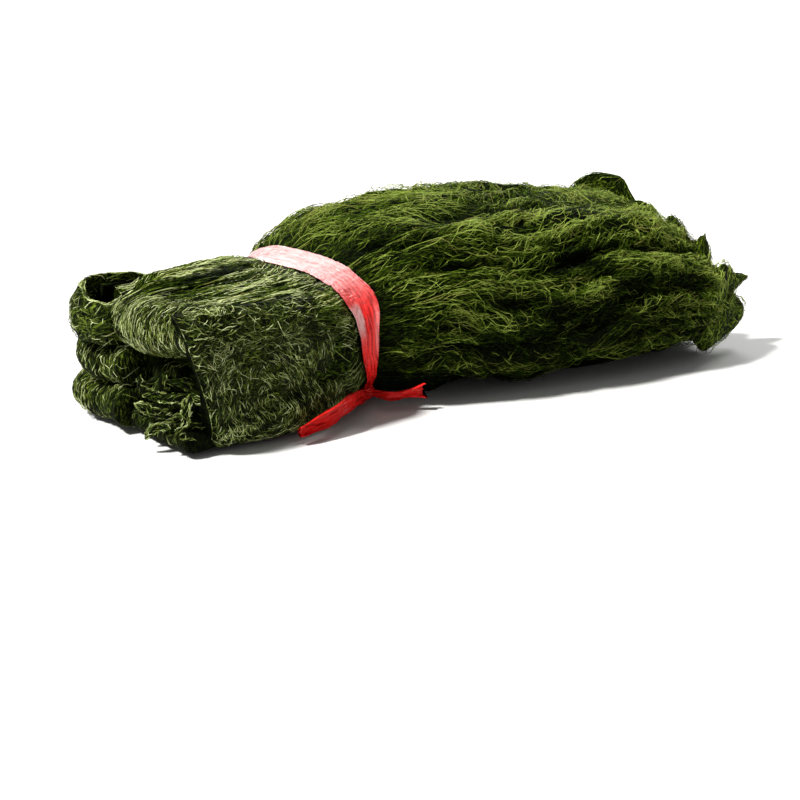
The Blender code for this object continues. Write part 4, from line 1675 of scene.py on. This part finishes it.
@dataclass
class LooseEnd:
    """The locks that lie along the loose half, the ragged locks of its end, and the tufts on it."""

    surface: HankSurface
    root_x: float = 0.364
    root_share: float = 0.45  # width of a lock at its root, which lies inside the core
    # How far out of the end's middle each row of locks grows, how many there are, and their width.
    rows: tuple[tuple[float, int, float], ...] = ((1.0, 11, 0.040), (0.60, 6, 0.040), (0.16, 2, 0.036))
    # Foot, lean in x and z, width and facing of each leafy tuft.
    tufts: tuple[tuple[float, ...], ...] = (
        (0.3895, 0.025, 0.074, 0.017, 0.025, 0.056, math.radians(-40)),
        (0.384, -0.076, 0.034, 0.038, 0.012, 0.028, math.radians(60)),
        (0.388, -0.008, 0.070, 0.016, 0.014, 0.034, math.radians(-40)),
    )
    tuft_widths: tuple[float, ...] = (0.9, 1.0, 0.95, 0.80, 0.55, 0.20)
    lying_count: int = 10
    lock_grid: tuple[int, int] = (40, 30)  # points along a lock's inside and round it
    lumps: int = 6  # round it

    def lying(self) -> list[LockSurface]:
        """Locks that fan out from the ribbon.

        Returns:
            The locks.
        """
        rng = np.random.default_rng(11)
        made = []
        for n in range(self.lying_count):
            angle = math.radians(-28 + 236 * (n + 0.6 * rng.random()) / self.lying_count)
            start, length = 0.165 + 0.10 * rng.random(), 0.10 + 0.04 * rng.random()
            swing, phase, width = 0.09 + 0.09 * rng.random(), 6 * rng.random(), 0.012 + 0.007 * rng.random()
            share = np.linspace(0, 1, 8)
            here = angle + swing * np.sin(4 * share + phase)
            lift = -0.0050 + 0.0058 * np.sin(np.pi * share).clip(0) ** 0.7
            path = self.surface.at(start + length * share, here, lift - 0.0010)
            widths = width * (0.35 + 0.65 * np.sin(np.pi * share).clip(0) ** 0.8)
            made.append(LockSurface(f"lying_lock_{n}", path, widths, 0.0064))
        return made

    def ends(self) -> list[LockSurface]:
        """Broad locks of uneven length all over the end, the upper ones shorter.

        Returns:
            The locks.
        """
        rng = np.random.default_rng(5)
        middle = np.array([self.root_x, -0.016, 0.044])
        made = []
        for outward, count, width in self.rows:
            for n in range(count):
                angle = 2 * math.pi * (n + 0.4 * rng.random() + 0.3 * outward) / count
                upper = float(step_between(0.0, 0.9, np.array(math.sin(angle - 0.3)))) * outward
                reach = 0.036 + 0.018 * rng.random() - 0.022 * upper
                flare, sag = 0.08 * (rng.random() - 0.3), 0.006 * rng.random() + 0.004 * upper
                root = self.surface.at(np.array(self.root_x), np.array(angle), np.array(-0.006)) - middle
                path, widths = [], []
                for share in np.linspace(0, 1, 5):
                    spread = outward * (1 - (0.14 + 0.12 * upper) * share + flare * share**2)
                    point = middle + root * spread
                    point[0] += reach * share + 0.010 * (1 - outward)
                    point[2] = max(point[2] - sag * share**2, 0.006 + 0.004 * share)
                    path.append(point)
                    widths.append(width * (0.85 + 0.3 * rng.random()) * (1.0 - 0.55 * share**2.5))
                widths[0] *= self.root_share
                name = f"end_lock_{count}_{n}"
                made.append(LockSurface(name, np.array(path), np.array(widths), 0.014, 0.65))
        return made

    def leafy(self) -> list[LockSurface]:
        """Leafy tufts that stand up from the end.

        Returns:
            The tufts.
        """
        made = []
        for n, (x, y, z, lean_x, lean_z, size, turn) in enumerate(self.tufts):
            share = np.linspace(0, 1, 6)
            path = np.stack([x + lean_x * share, y + 0.004 * np.sin(3 * share), z + lean_z * share], axis=-1)
            widths = size * np.array(self.tuft_widths)
            facing = (-math.sin(turn), math.cos(turn), 0.0)
            made.append(LockSurface(f"tuft_{n}", path, widths, 0.011, 0.6, facing, matting=0.2))
        return made

    def lock_body(self, lock: LockSurface) -> Body:
        """The matted inside of a lock, a little slimmer than its fibres.

        Args:
            lock: The lock.

        Returns:
            The body.
        """
        along, around = self.lock_grid
        u, v = grid(np.linspace(0, lock.run[-1], along), np.linspace(0, lock.girth, around, endpoint=False))
        lump = Lattice(seed_of(lock.name), self.lumps)
        slim = np.interp(float(lock.widths.mean()), (0.006, 0.015), (0.2, 1.0))
        turn = v / lock.girth * self.lumps
        uneven = lock.matting * slim * (0.0016 * lump(u / 0.012, turn) - 0.0010)
        rings = lock.place(u, v, uneven)
        steps = np.linalg.norm(np.diff(rings, axis=0), axis=-1)
        flow = np.concatenate([0 * steps[:1], np.cumsum(steps, axis=0)])
        shade = 0.45 + 0.3 * lump(u / 0.01 + 3, turn)
        return Body(lock.name, rings, np.stack([flow, v], axis=-1), shade)


# ---- the ribbon ------------------------------------------------------------------------------------


def both_faces(face: Array, back: Optional[Array] = None) -> Array:
    """Rings that run along a film's face and back along its other one."""
    return np.concatenate([face, (face if back is None else back)[:, ::-1]], axis=1)


@dataclass(frozen=True)
class FreeEnd:
    """The course of one free end of the film."""

    name: str
    route: tuple[Place, ...]  # points after the knot
    widths: tuple[float, ...]  # along it
    seed: int  # fixes its creases


@dataclass
class FilmTie:
    """The red film: a band round the waist, gathered to a knot low on the front, with two free ends."""

    surface: HankSurface
    width: float = 0.021
    narrow: float = 0.0065
    knot_angle: float = math.radians(226)
    knot_radius: float = 0.0041
    thick: float = 0.00028
    radius: float = 0.062  # that the band's map is laid out on
    pull: float = 0.0034  # how far the band is drawn towards the folded end, on the front
    band_grid: tuple[int, int] = (420, 40)  # points round the waist and across the film
    knot_grid: tuple[int, int] = (30, 48)  # points along the knot and round it
    tail_grid: tuple[int, int] = (90, 26)  # points along a free end and across it
    left: FreeEnd = FreeEnd(
        "ribbon_left_tail", ((0.106, -0.0585, 0.0165), (0.083, -0.0645, 0.0120), (0.063, -0.0670, 0.0080)),
        (0.005, 0.0095, 0.0095, 0.0065), 61,
    )
    right: FreeEnd = FreeEnd(
        "ribbon_right_tail", ((0.141, -0.0480, 0.0100), (0.150, -0.0520, 0.0105), (0.160, -0.0570, 0.0125)),
        (0.005, 0.0065, 0.0055, 0.0100), 62,
    )

    def width_at(self, angle: Array) -> Array:
        """Width of the band at an angle round the waist."""
        off_knot = np.abs((angle - self.knot_angle + math.pi) % (2 * math.pi) - math.pi)
        return self.narrow + (self.width - self.narrow) * step_between(0.10, 1.35, off_knot)

    def knot_centre(self) -> Array:
        """Middle of the knot."""
        return self.surface.smooth_at(np.array(WAIST_X), np.array(self.knot_angle), self.knot_radius + 0.001)

    def pleats(self, angle: Array, share: Array) -> Array:
        """How far the band's pleats and swirls stand out.

        Args:
            angle: Place round the waist.
            share: Place across the band, from -1 to 1.

        Returns:
            Distances out of the core.
        """
        gather = 1 - (self.width_at(angle) - self.narrow) / (self.width - self.narrow)
        pleats, ripple, swirls = Lattice(51, 24), Lattice(52, 60), Lattice(54, 110)
        turn = angle / (2 * math.pi)
        skew = 0.6 * np.sin(2 * angle + 0.5)
        fold = pleats(share * 3.2 + skew + 20, turn * 24)
        fine = pleats(share * 8.0 + 2 * skew + 60, turn * 24)
        crinkle = ripple(share * 2.5 + 90, turn * 60)
        lift = 0.0009 + (0.0006 + 0.0008 * gather) * np.abs(fold) + (0.0002 + 0.0007 * gather) * np.abs(fine)
        bent = 0.8 * crinkle
        middle = step_between(math.radians(92), math.radians(112), angle) * step_between(3.00, 2.65, angle)
        swirl = np.abs(swirls(share * 3.0 + 40 + bent, turn * 110 + bent))
        return lift + 0.00025 * crinkle + 0.0008 * middle * swirl

    @staticmethod
    def milkiness_and_painted_light(angle: Array, share: Array) -> Array:
        """How the film is painted: milk-white in a patch, milk-white and partly painted glare most of all
        over the top, a painted highlight along its edge on the front, and painted shade on the front.

        Args:
            angle: Place round the waist.
            share: Place across the band, from -1 to 1.

        Returns:
            1 for the pale colour, 0 for red, and below 0 for painted shade.
        """
        patch = np.exp(-(((angle - math.radians(167)) / 0.20) ** 4)) * step_between(0.05, -0.10, share)
        # Partly milkiness and partly painted glare over the top.
        top = step_between(math.radians(177), math.radians(98), angle) * step_between(-0.1, 0.5, angle)
        # Painted shade on the front, which faces away from the key light.
        shaded = step_between(math.radians(176), math.radians(212), angle)
        # Painted highlight along the band's edge on the front.
        shine = step_between(0.52, 0.90, share) * np.exp(-(((angle - math.radians(174)) / 0.26) ** 4))
        return np.clip(0.80 * patch + 0.85 * top + 0.34 * shine, 0, 1) - 0.12 * shaded

    def band(self) -> Body:
        """The band, in lengthwise pleats that draw together at the knot.

        Returns:
            Its body.
        """
        around, across = self.band_grid
        angle, share = grid(np.linspace(0, 2 * math.pi, around, endpoint=False), np.linspace(-1, 1, across))
        half = self.width_at(angle) / 2
        edge = Lattice(53, 12)
        uneven = edge(np.sign(share) * 3, angle / (2 * math.pi) * 12)
        x = WAIST_X + half * share + 0.0007 * uneven * np.abs(share)
        x = x - self.pull * np.exp(-(((angle - math.radians(184)) / 0.42) ** 2))
        lift = self.pleats(angle, share)
        outer, inner = (self.surface.smooth_at(x, angle, lift + high) for high in (self.thick, 0.0))
        flat = np.stack([angle * self.radius, half * share], axis=-1)
        # thin carries the film's milkiness, painted glare, a painted highlight and painted shade.
        thin = both_faces(self.milkiness_and_painted_light(angle, share))
        rings = both_faces(outer, inner)
        return Body("ribbon_band", rings, both_faces(flat), thin, "Film", "thin", looped=True)

    def knot(self) -> Body:
        """The knot: a small lump of pulled film with a wrapped turn across it.

        Returns:
            Its body.
        """
        rows, around = self.knot_grid
        turn = np.linspace(0, 2 * math.pi, around, endpoint=False)
        share, turn = grid(np.linspace(-0.985, 0.985, rows), turn)
        wide = self.knot_radius * np.sqrt(np.maximum(1 - share**2, 0.04))
        wide = wide * (1 + 0.10 * np.cos(9 * turn + 5 * share) + 0.07 * np.cos(4 * turn - 3 * share + 1))
        along = self.knot_radius * share
        rings = np.stack([along, 0.85 * wide * np.cos(turn), wide * np.sin(turn)], axis=-1)
        flat = np.stack([along, turn * 0.004], axis=-1)
        # Painted shade: the knot is painted darker red.
        shaded = np.full(turn.shape, -0.3)
        return Body("ribbon_knot", rings + self.knot_centre(), flat, shaded, "Film", "thin")

    def tail(self, end: FreeEnd) -> Body:
        """A free end of the film, crumpled lengthwise.

        Args:
            end: Its course.

        Returns:
            Its body.
        """
        path = np.vstack([self.knot_centre(), end.route])
        stations = np.linspace(0, 1, len(path))
        rows, across = self.tail_grid
        share, side = grid(np.linspace(0, 1, rows), np.linspace(-1, 1, across))
        x, y, z = (smooth_through(share, stations, path[:, k]) for k in range(3))
        half = smooth_through(share, np.array([0, 0.3, 0.75, 1]), np.array(end.widths)) / 2
        turned = math.radians(64) + 0.5 * share
        crease = Lattice(end.seed)
        out = 0.0010 * crease(share * 6, side * 2.2 + 9) * half / 0.004
        out = out + 0.0006 * crease(share * 14, side * 7 + 40)
        turning = (1.35 + 0.45 * share) * side
        out = out + half * (1 - np.cos(turning)) * 0.9
        flat_side = half * np.sin(turning) * 0.85
        span_y, span_z = np.cos(turned) * flat_side, np.sin(turned) * flat_side
        middle = np.stack([x, y + span_y - out, z + span_z], axis=-1)
        face, back = middle - (0, self.thick, 0), middle + (0, self.thick, 0)
        flat = both_faces(np.stack([share * run_along(path)[-1], half * side], axis=-1))
        # Painted shade: the free ends are painted darker red.
        return Body(end.name, both_faces(face, back), flat, np.full(flat.shape[:2], -0.30), "Film", "thin")

    def build(self, finish: Material) -> list[Object]:
        """Makes the pieces of the ribbon."""
        bodies = (self.band(), self.knot(), self.tail(self.left), self.tail(self.right))
        return [body.build(finish) for body in bodies]


# ---- the studio ------------------------------------------------------------------------------------


@dataclass
class Studio:
    """A pale floor, soft lights and the camera at the photograph's viewing angle."""

    azimuth: float = math.radians(-39.0)
    elevation: float = math.radians(16.5)
    distance: float = 1.170
    view: float = math.radians(24.0)
    aim: Place = (-0.0174530, 0.0048157, -0.013)
    sun_towards: Place = (-0.58, 0.12, 0.80)
    sun_strength: float = 4.9
    sun_spread: float = math.radians(7)
    sun_tone: tuple[float, float, float] = (1.0, 0.985, 0.96)
    sky_strength: float = 0.22
    lamps: tuple[tuple[str, Place, float, float], ...] = (  # name, place, side, watts
        ("back", (0.96, 1.22, 0.46), 0.7, 7),
        ("high", (0.96, 0.68, 1.08), 0.5, 5),
        ("right", (0.86, 0.06, 1.28), 0.35, 5),
    )

    def floor(self) -> None:
        """A wide floor."""
        size = 40.0
        corners = [(-size, -size, 0), (size, -size, 0), (size, size, 0), (-size, size, 0)]
        mesh = bpy.data.meshes.new("floor")
        mesh.from_pydata(corners, [], [(0, 1, 2, 3)])
        mesh.materials.append(FloorFinish().material())
        put("floor", mesh)

    def lamp(self, name: str, place: Place, size: float, power: float) -> None:
        """A soft light that points at the hank.

        Args:
            name: Its name.
            place: Where it stands.
            size: Its side.
            power: Watts.
        """
        light = bpy.data.lights.new(name, "AREA")
        light.size, light.energy = size, power
        made = put(name, light)
        made.location = place
        aim = Vector((0, 0, 0.04)) - Vector(place)
        made.rotation_euler = aim.to_track_quat("-Z", "Y").to_euler()
        made.visible_camera = False

    def sun(self) -> None:
        """The main light: broad and even, from high on the left."""
        light = bpy.data.lights.new("key", "SUN")
        light.energy, light.angle, light.color = self.sun_strength, self.sun_spread, self.sun_tone
        put("key", light).rotation_euler = Vector(self.sun_towards).to_track_quat("Z", "Y").to_euler()

    def camera(self) -> None:
        """The camera."""
        az, el = self.azimuth, self.elevation
        back = Vector((math.sin(az) * math.cos(el), -math.cos(az) * math.cos(el), math.sin(el)))
        right = Vector((math.cos(az), math.sin(az), 0))
        lens = bpy.data.cameras.new("camera")
        lens.angle = self.view
        lens.clip_start, lens.clip_end = 0.05, 50
        turn = Matrix((right, back.cross(right), back)).transposed().to_4x4()
        made = put("camera", lens)
        made.matrix_world = Matrix.Translation(Vector(self.aim) + back * self.distance) @ turn
        bpy.context.scene.camera = made

    def build(self) -> None:
        """Sets the studio up."""
        self.floor()
        self.camera()
        self.sun()
        for lamp in self.lamps:
            self.lamp(*lamp)
        world = bpy.data.worlds.new("studio")
        world.use_nodes = True
        sky = world.node_tree.nodes["Background"].inputs
        sky["Color"].default_value, sky["Strength"].default_value = (1, 1, 1, 1), self.sky_strength
        bpy.context.scene.world = world
        bpy.context.scene.view_settings.view_transform = "Standard"


# ---- the strands that cover it all -----------------------------------------------------------------


FINE = (0.00024, 0.00044)  # widths of the finest strands that show
FELT_FINE = (0.00022, 0.00040)
LOCK_FINE = (0.00026, 0.00046)
STOUT = (0.00030, 0.00052)
SHORT_WAVES = (0.005, 0.010)
FELT_WAVES = (0.005, 0.012)
LONG_WAVES = (0.006, 0.014)


class Coat:
    """The strands that cover the hank, kind by kind."""

    def __init__(self, surface: HankSurface, folded: FoldedEnd, loose: LooseEnd) -> None:
        """Keeps the surfaces that the strands lie on."""
        self.surface, self.folded, self.loose = surface, folded, loose
        self.sweeper = StrandSweep()

    @staticmethod
    def arc(low: float, high: float) -> Span:
        """A range of the hank's v, from degrees."""
        return math.radians(low) * GIRTH_RADIUS, math.radians(high) * GIRTH_RADIUS

    @staticmethod
    def round_locks(
        rng: np.random.Generator, locks: Sequence[LockSurface], kind: StrandKind
    ) -> list[Strands]:
        """Strands of one kind all round each of some locks."""
        return [grow(lock, kind, rng, (lock.span_u, (0.0, lock.girth))) for lock in locks]

    def folded_top(self) -> Strands:
        """Strands over the top of the folded half, with its bundle and shoulder.

        Returns:
            The strands.
        """
        rng = np.random.default_rng(101)
        long = StrandKind(
            1450, (0.014, 0.040), STOUT, clump=6, clump_u=0.009, clump_v=0.0012, spread=0.15, stray=0.07,
            bend=8.0, wave=0.10, wave_length=LONG_WAVES, lift=(-0.0006, 0.0018), arch=0.0010, weave=0.0006,
            tint=(-0.32, 1.05), contrast=0.75, glint=0.14,
        )
        shoulder = StrandKind(
            520, (0.012, 0.030), (0.00036, 0.00060), clump=4, clump_u=0.008, clump_v=0.0018, spread=0.22,
            stray=0.14, bend=14.0, wave=0.20, lift=(0.0004, 0.0030), weave=0.0005, tint=(0.02, 0.80),
        )
        bundle = StrandKind(
            230, (0.020, 0.048), (0.00036, 0.00064), clump=5, clump_u=0.010, clump_v=0.0008, spread=0.04,
            stray=0.03, bend=1.5, wave=0.04, lift=(-0.0006, 0.0010), tint=(-0.15, 1.10), contrast=0.8,
            glint=0.14,
        )
        parts = [
            grow(self.surface, long, rng, ((0.044, 0.118), self.arc(28, 84))),
            grow(self.surface, long, rng, ((0.026, 0.118), self.arc(80, 150))),
            grow(self.surface, shoulder, rng, ((0.024, 0.116), self.arc(134, 168))),
            grow(self.surface, replace(long, count=160), rng, ((0.022, 0.050), self.arc(52, 82))),
        ]
        for lock in self.folded.bundle():
            parts.append(grow(lock, bundle, rng, (lock.span_u, (0.0, lock.girth / 2))))
        return Strands.joined(parts)

    def folded_end(self) -> Strands:
        """Short strands on the roll, the pocket, the turned layers below and the torn tufts between them.

        Returns:
            The strands.
        """
        rng = np.random.default_rng(107)
        rolled = StrandKind(
            2100, (0.007, 0.018), FINE, clump=4, clump_u=0.005, clump_v=0.0012, spread=0.24, stray=0.12,
            bend=22.0, wave=0.12, wave_length=SHORT_WAVES, lift=(-0.0003, 0.0008), tint=(-0.40, 1.28),
            stations=5, glint=0.26,
        )
        wall = StrandKind(
            620, (0.004, 0.011), FINE, spread=1.2, bend=60.0, wave=0.2, lift=(-0.0001, 0.0004),
            tint=(-0.30, 0.98), stations=5,
        )
        rim = StrandKind(
            150, (0.006, 0.016), FINE, spread=0.15, bend=8.0, lift=(0.0, 0.0006), tint=(0.35, 0.95),
            stations=5,
        )
        # Painted light: the strands inside the pocket get light tints against its shadow.
        inside = StrandKind(220, (0.006, 0.014), FINE, spread=0.4, wave=0.2, tint=(0.45, 1.15), stations=5)
        curled = StrandKind(
            300, (0.005, 0.013), FINE, clump=3, clump_u=0.004, clump_v=0.0012, spread=0.30, stray=0.2,
            bend=40.0, wave=0.15, wave_length=SHORT_WAVES, lift=(-0.0002, 0.0004), arch=0.0003,
            tint=(0.0, 0.74), stations=5, glint=0.12,
        )
        torn = StrandKind(
            30, (0.003, 0.008), (0.00024, 0.00038), spread=0.25, bend=30.0, wave=0.15,
            wave_length=SHORT_WAVES, lift=(-0.0005, 0.0004), fly=0.0008, tint=(0.0, 0.55), stations=5,
            glint=0.10,
        )
        roll, pocket = self.folded.roll, self.folded.pocket
        parts = [
            grow(roll, rolled, rng, ((0.004, roll.length * 0.80), roll.span_v)),
            grow(pocket, wall, rng),
            grow(pocket, rim, rng, (pocket.span_u, (pocket.highest - 0.005, pocket.highest))),
            grow(self.folded.pocket_inside, inside, rng),
        ]
        for layers in self.folded.folds:
            # Painted shade: the curls keep the curled kind's narrower, mostly darker tints, back in the
            # cavity.
            kind = replace(curled, count=700, tint=(-0.20, 1.2)) if layers.fold is Fold.LOBE else curled
            share = (layers.end - layers.start) / 0.07
            area = (layers.span_u, (layers.start + 0.003, layers.end - 0.003))
            parts.append(grow(layers, replace(kind, count=int(kind.count * share)), rng, area))
        hanging = replace(torn, count=110, tint=(0.05, 0.85))
        parts += self.round_locks(rng, self.folded.fronds(), hanging)
        return Strands.joined(parts + self.round_locks(rng, self.folded.tufts(), torn))

    def sides(self) -> Strands:
        """Felted fibres on the flat sides of the folded half.

        Returns:
            The strands.
        """
        rng = np.random.default_rng(102)
        felted = StrandKind(
            3500, (0.004, 0.015), FELT_FINE, clump=3, clump_u=0.004, clump_v=0.0012, spread=0.45, stray=0.30,
            bend=55.0, wave=0.20, wave_length=FELT_WAVES, lift=(-0.0003, 0.0003), arch=0.0003, weave=0.0003,
            tint=(-0.36, 0.98), over=0.0003, glint=0.12,
        )
        joint = StrandKind(
            420, (0.008, 0.020), FELT_FINE, clump=3, clump_u=0.005, clump_v=0.003, spread=0.35, stray=0.2,
            bend=18.0, wave=0.25, wave_length=(0.006, 0.012), lift=(0.0002, 0.0014), tint=(-0.1, 0.80),
        )
        rear = StrandKind(260, (0.012, 0.028), FELT_FINE, spread=0.5, bend=18.0, tint=(0.0, 0.8))
        return Strands.joined(
            [
                grow(self.folded.front, felted, rng),
                grow(self.surface, joint, rng, ((0.090, 0.122), self.arc(160, 222))),
                grow(self.folded.back, rear, rng),
            ]
        )

    def loose_locks(self, seed: int) -> Strands:
        """Wavy locks along the loose half.

        Args:
            seed: Fixes their places.

        Returns:
            The strands.
        """
        locks = StrandKind(
            4600, (0.010, 0.030), LOCK_FINE, clump=7, clump_u=0.008, clump_v=0.0018, spread=0.42, stray=0.26,
            bend=30.0, wave=0.35, wave_length=LONG_WAVES, lift=(-0.0010, 0.0024), arch=0.0020, weave=0.0006,
            tint=(-0.24, 0.88), glint=0.07,
        )
        return grow(self.surface, locks, np.random.default_rng(seed), ((0.147, 0.384), self.arc(-30, 212)))

    def loose_tangle(self) -> Strands:
        """Finer curly strands across the locks, more of them towards the end, and long ones below.

        Returns:
            The strands.
        """
        rng = np.random.default_rng(105)
        curly = StrandKind(
            2300, (0.006, 0.018), LOCK_FINE, spread=0.70, bend=60.0, wave=0.6, wave_length=FELT_WAVES,
            lift=(0.0, 0.0030), arch=0.0010, weave=0.0007, fly=0.002, tint=(0.05, 0.95),
        )
        near_end = StrandKind(
            1400, (0.006, 0.018), LOCK_FINE, spread=0.9, bend=70.0, wave=0.7, lift=(0.0, 0.0030),
            arch=0.0015, fly=0.002, tint=(0.10, 0.92),
        )
        below = StrandKind(160, (0.030, 0.060), clump=12, spread=0.1, tint=(0.05, 0.35))
        upper = self.arc(-30, 212)
        return Strands.joined(
            [
                grow(self.surface, curly, rng, ((0.145, 0.380), upper)),
                grow(self.surface, near_end, rng, ((0.310, 0.392), upper)),
                grow(self.surface, below, rng, ((0.150, 0.370), self.arc(212, 330))),
            ]
        )

    def end_locks(self) -> Strands:
        """Curly strands round the locks of the ragged end and the tufts, and long ones on the lying locks.

        Returns:
            The strands.
        """
        rng = np.random.default_rng(106)
        ragged = StrandKind(
            165, (0.006, 0.020), STOUT, clump=3, clump_u=0.006, clump_v=0.0020, spread=0.50, stray=0.3,
            bend=45.0, wave=0.3, wave_length=LONG_WAVES, lift=(-0.0010, 0.0012), arch=0.0008, weave=0.0006,
            fly=0.0010, tint=(0.22, 1.15),
        )
        leafy = replace(ragged, count=420, lift=(-0.0010, 0.0004), fly=0.0004, tint=(-0.10, 0.85))
        lying = StrandKind(
            60, (0.014, 0.034), STOUT, clump=6, clump_u=0.010, clump_v=0.0016, spread=0.16, bend=10.0,
            wave=0.3, wave_length=LONG_WAVES, lift=(-0.0006, 0.0010), arch=0.0010, tint=(0.05, 0.80),
        )
        groups = ((self.loose.ends(), ragged), (self.loose.leafy(), leafy), (self.loose.lying(), lying))
        return Strands.joined([part for group in groups for part in self.round_locks(rng, *group)])

    def build(self, dry: Material, short: Material, fresh: Material) -> list[Object]:
        """Makes every kind as a piece of its own.

        Args:
            dry: The finish of the long strands on the folded half.
            short: The paler finish of the short ones on its end and sides.
            fresh: The greener finish of those on the loose half.

        Returns:
            The pieces.
        """
        kinds = (
            ("strands_folded_top", self.folded_top(), dry),
            ("strands_folded_end", self.folded_end(), short),
            ("strands_sides", self.sides(), short),
            ("strands_locks_one", self.loose_locks(103), fresh),
            ("strands_locks_two", self.loose_locks(104), fresh),
            ("strands_tangle", self.loose_tangle(), fresh),
            ("strands_end", self.end_locks(), fresh),
        )
        return [self.sweeper.sweep(name, strands, finish) for name, strands, finish in kinds]


# Darker than the other felts: the core that shows between the strands is painted as shade.
MATTED = FeltFinish(
    "matted_locks", dark=(0.0004, 0.0008, 0.0001, 1.0), body=(0.0060, 0.0120, 0.0004, 1.0),
    light=(0.070, 0.120, 0.005, 1.0), pitch=0.0008, tangle=0.25,
)
FELTED = FeltFinish("felted_layers", tangle=0.9, pitch=0.0008)
TURNED = FeltFinish("turned_layers", tangle=0.35, pitch=0.0009)
TORN = FeltFinish(
    "torn_ends", body=(0.024, 0.042, 0.0014, 1.0), light=(0.20, 0.30, 0.016, 1.0), tangle=0.6, pitch=0.0010
)
# Each finish's pale is the colour that its painted glints and painted light reach: whiter on the folded half,
# yellow-green on the loose half.
DRY = StrandFinish(
    "dry_filaments", body=(0.024, 0.050, 0.0012, 1.0), bright=(0.155, 0.255, 0.009, 1.0),
    pale=(0.74, 0.82, 0.40, 1.0), gloss=0.06,
)
SHORT = StrandFinish(
    "short_filaments", body=(0.034, 0.056, 0.0060, 1.0), bright=(0.275, 0.385, 0.068, 1.0),
    pale=(0.88, 0.98, 0.50, 1.0), roughness=0.40, gloss=0.14,
)
FRESH = StrandFinish(
    "green_filaments", body=(0.019, 0.040, 0.0010, 1.0), bright=(0.084, 0.160, 0.003, 1.0),
    pale=(0.36, 0.48, 0.085, 1.0), gloss=0.04,
)


def main() -> None:
    """Builds the studio and every piece, in order."""
    logging.basicConfig(level=logging.INFO, format="%(message)s")
    Studio().build()
    surface = HankSurface()
    folded, loose = FoldedEnd(), LooseEnd(surface)
    matted, felted, turned, torn = (finish.material() for finish in (MATTED, FELTED, TURNED, TORN))
    dry, short, fresh = (finish.material() for finish in (DRY, SHORT, FRESH))
    keep(HankCore(surface).build(matted), "seaweed_hank")
    for piece in folded.build(felted, turned):
        keep(piece)
    for lock in [*folded.bundle(), *folded.fronds(), *folded.tufts(), *loose.lying()]:
        keep(loose.lock_body(lock).build(matted))
    for lock in [*loose.ends(), *loose.leafy()]:
        keep(loose.lock_body(lock).build(torn))
    for piece in Coat(surface, folded, loose).build(dry, short, fresh):
        keep(piece)
    for number, piece in enumerate(FilmTie(surface).build(FilmFinish("red_film").material())):
        keep(piece, "ribbon_tie" if number == 0 else None)


if __name__ == "__main__":
    main()
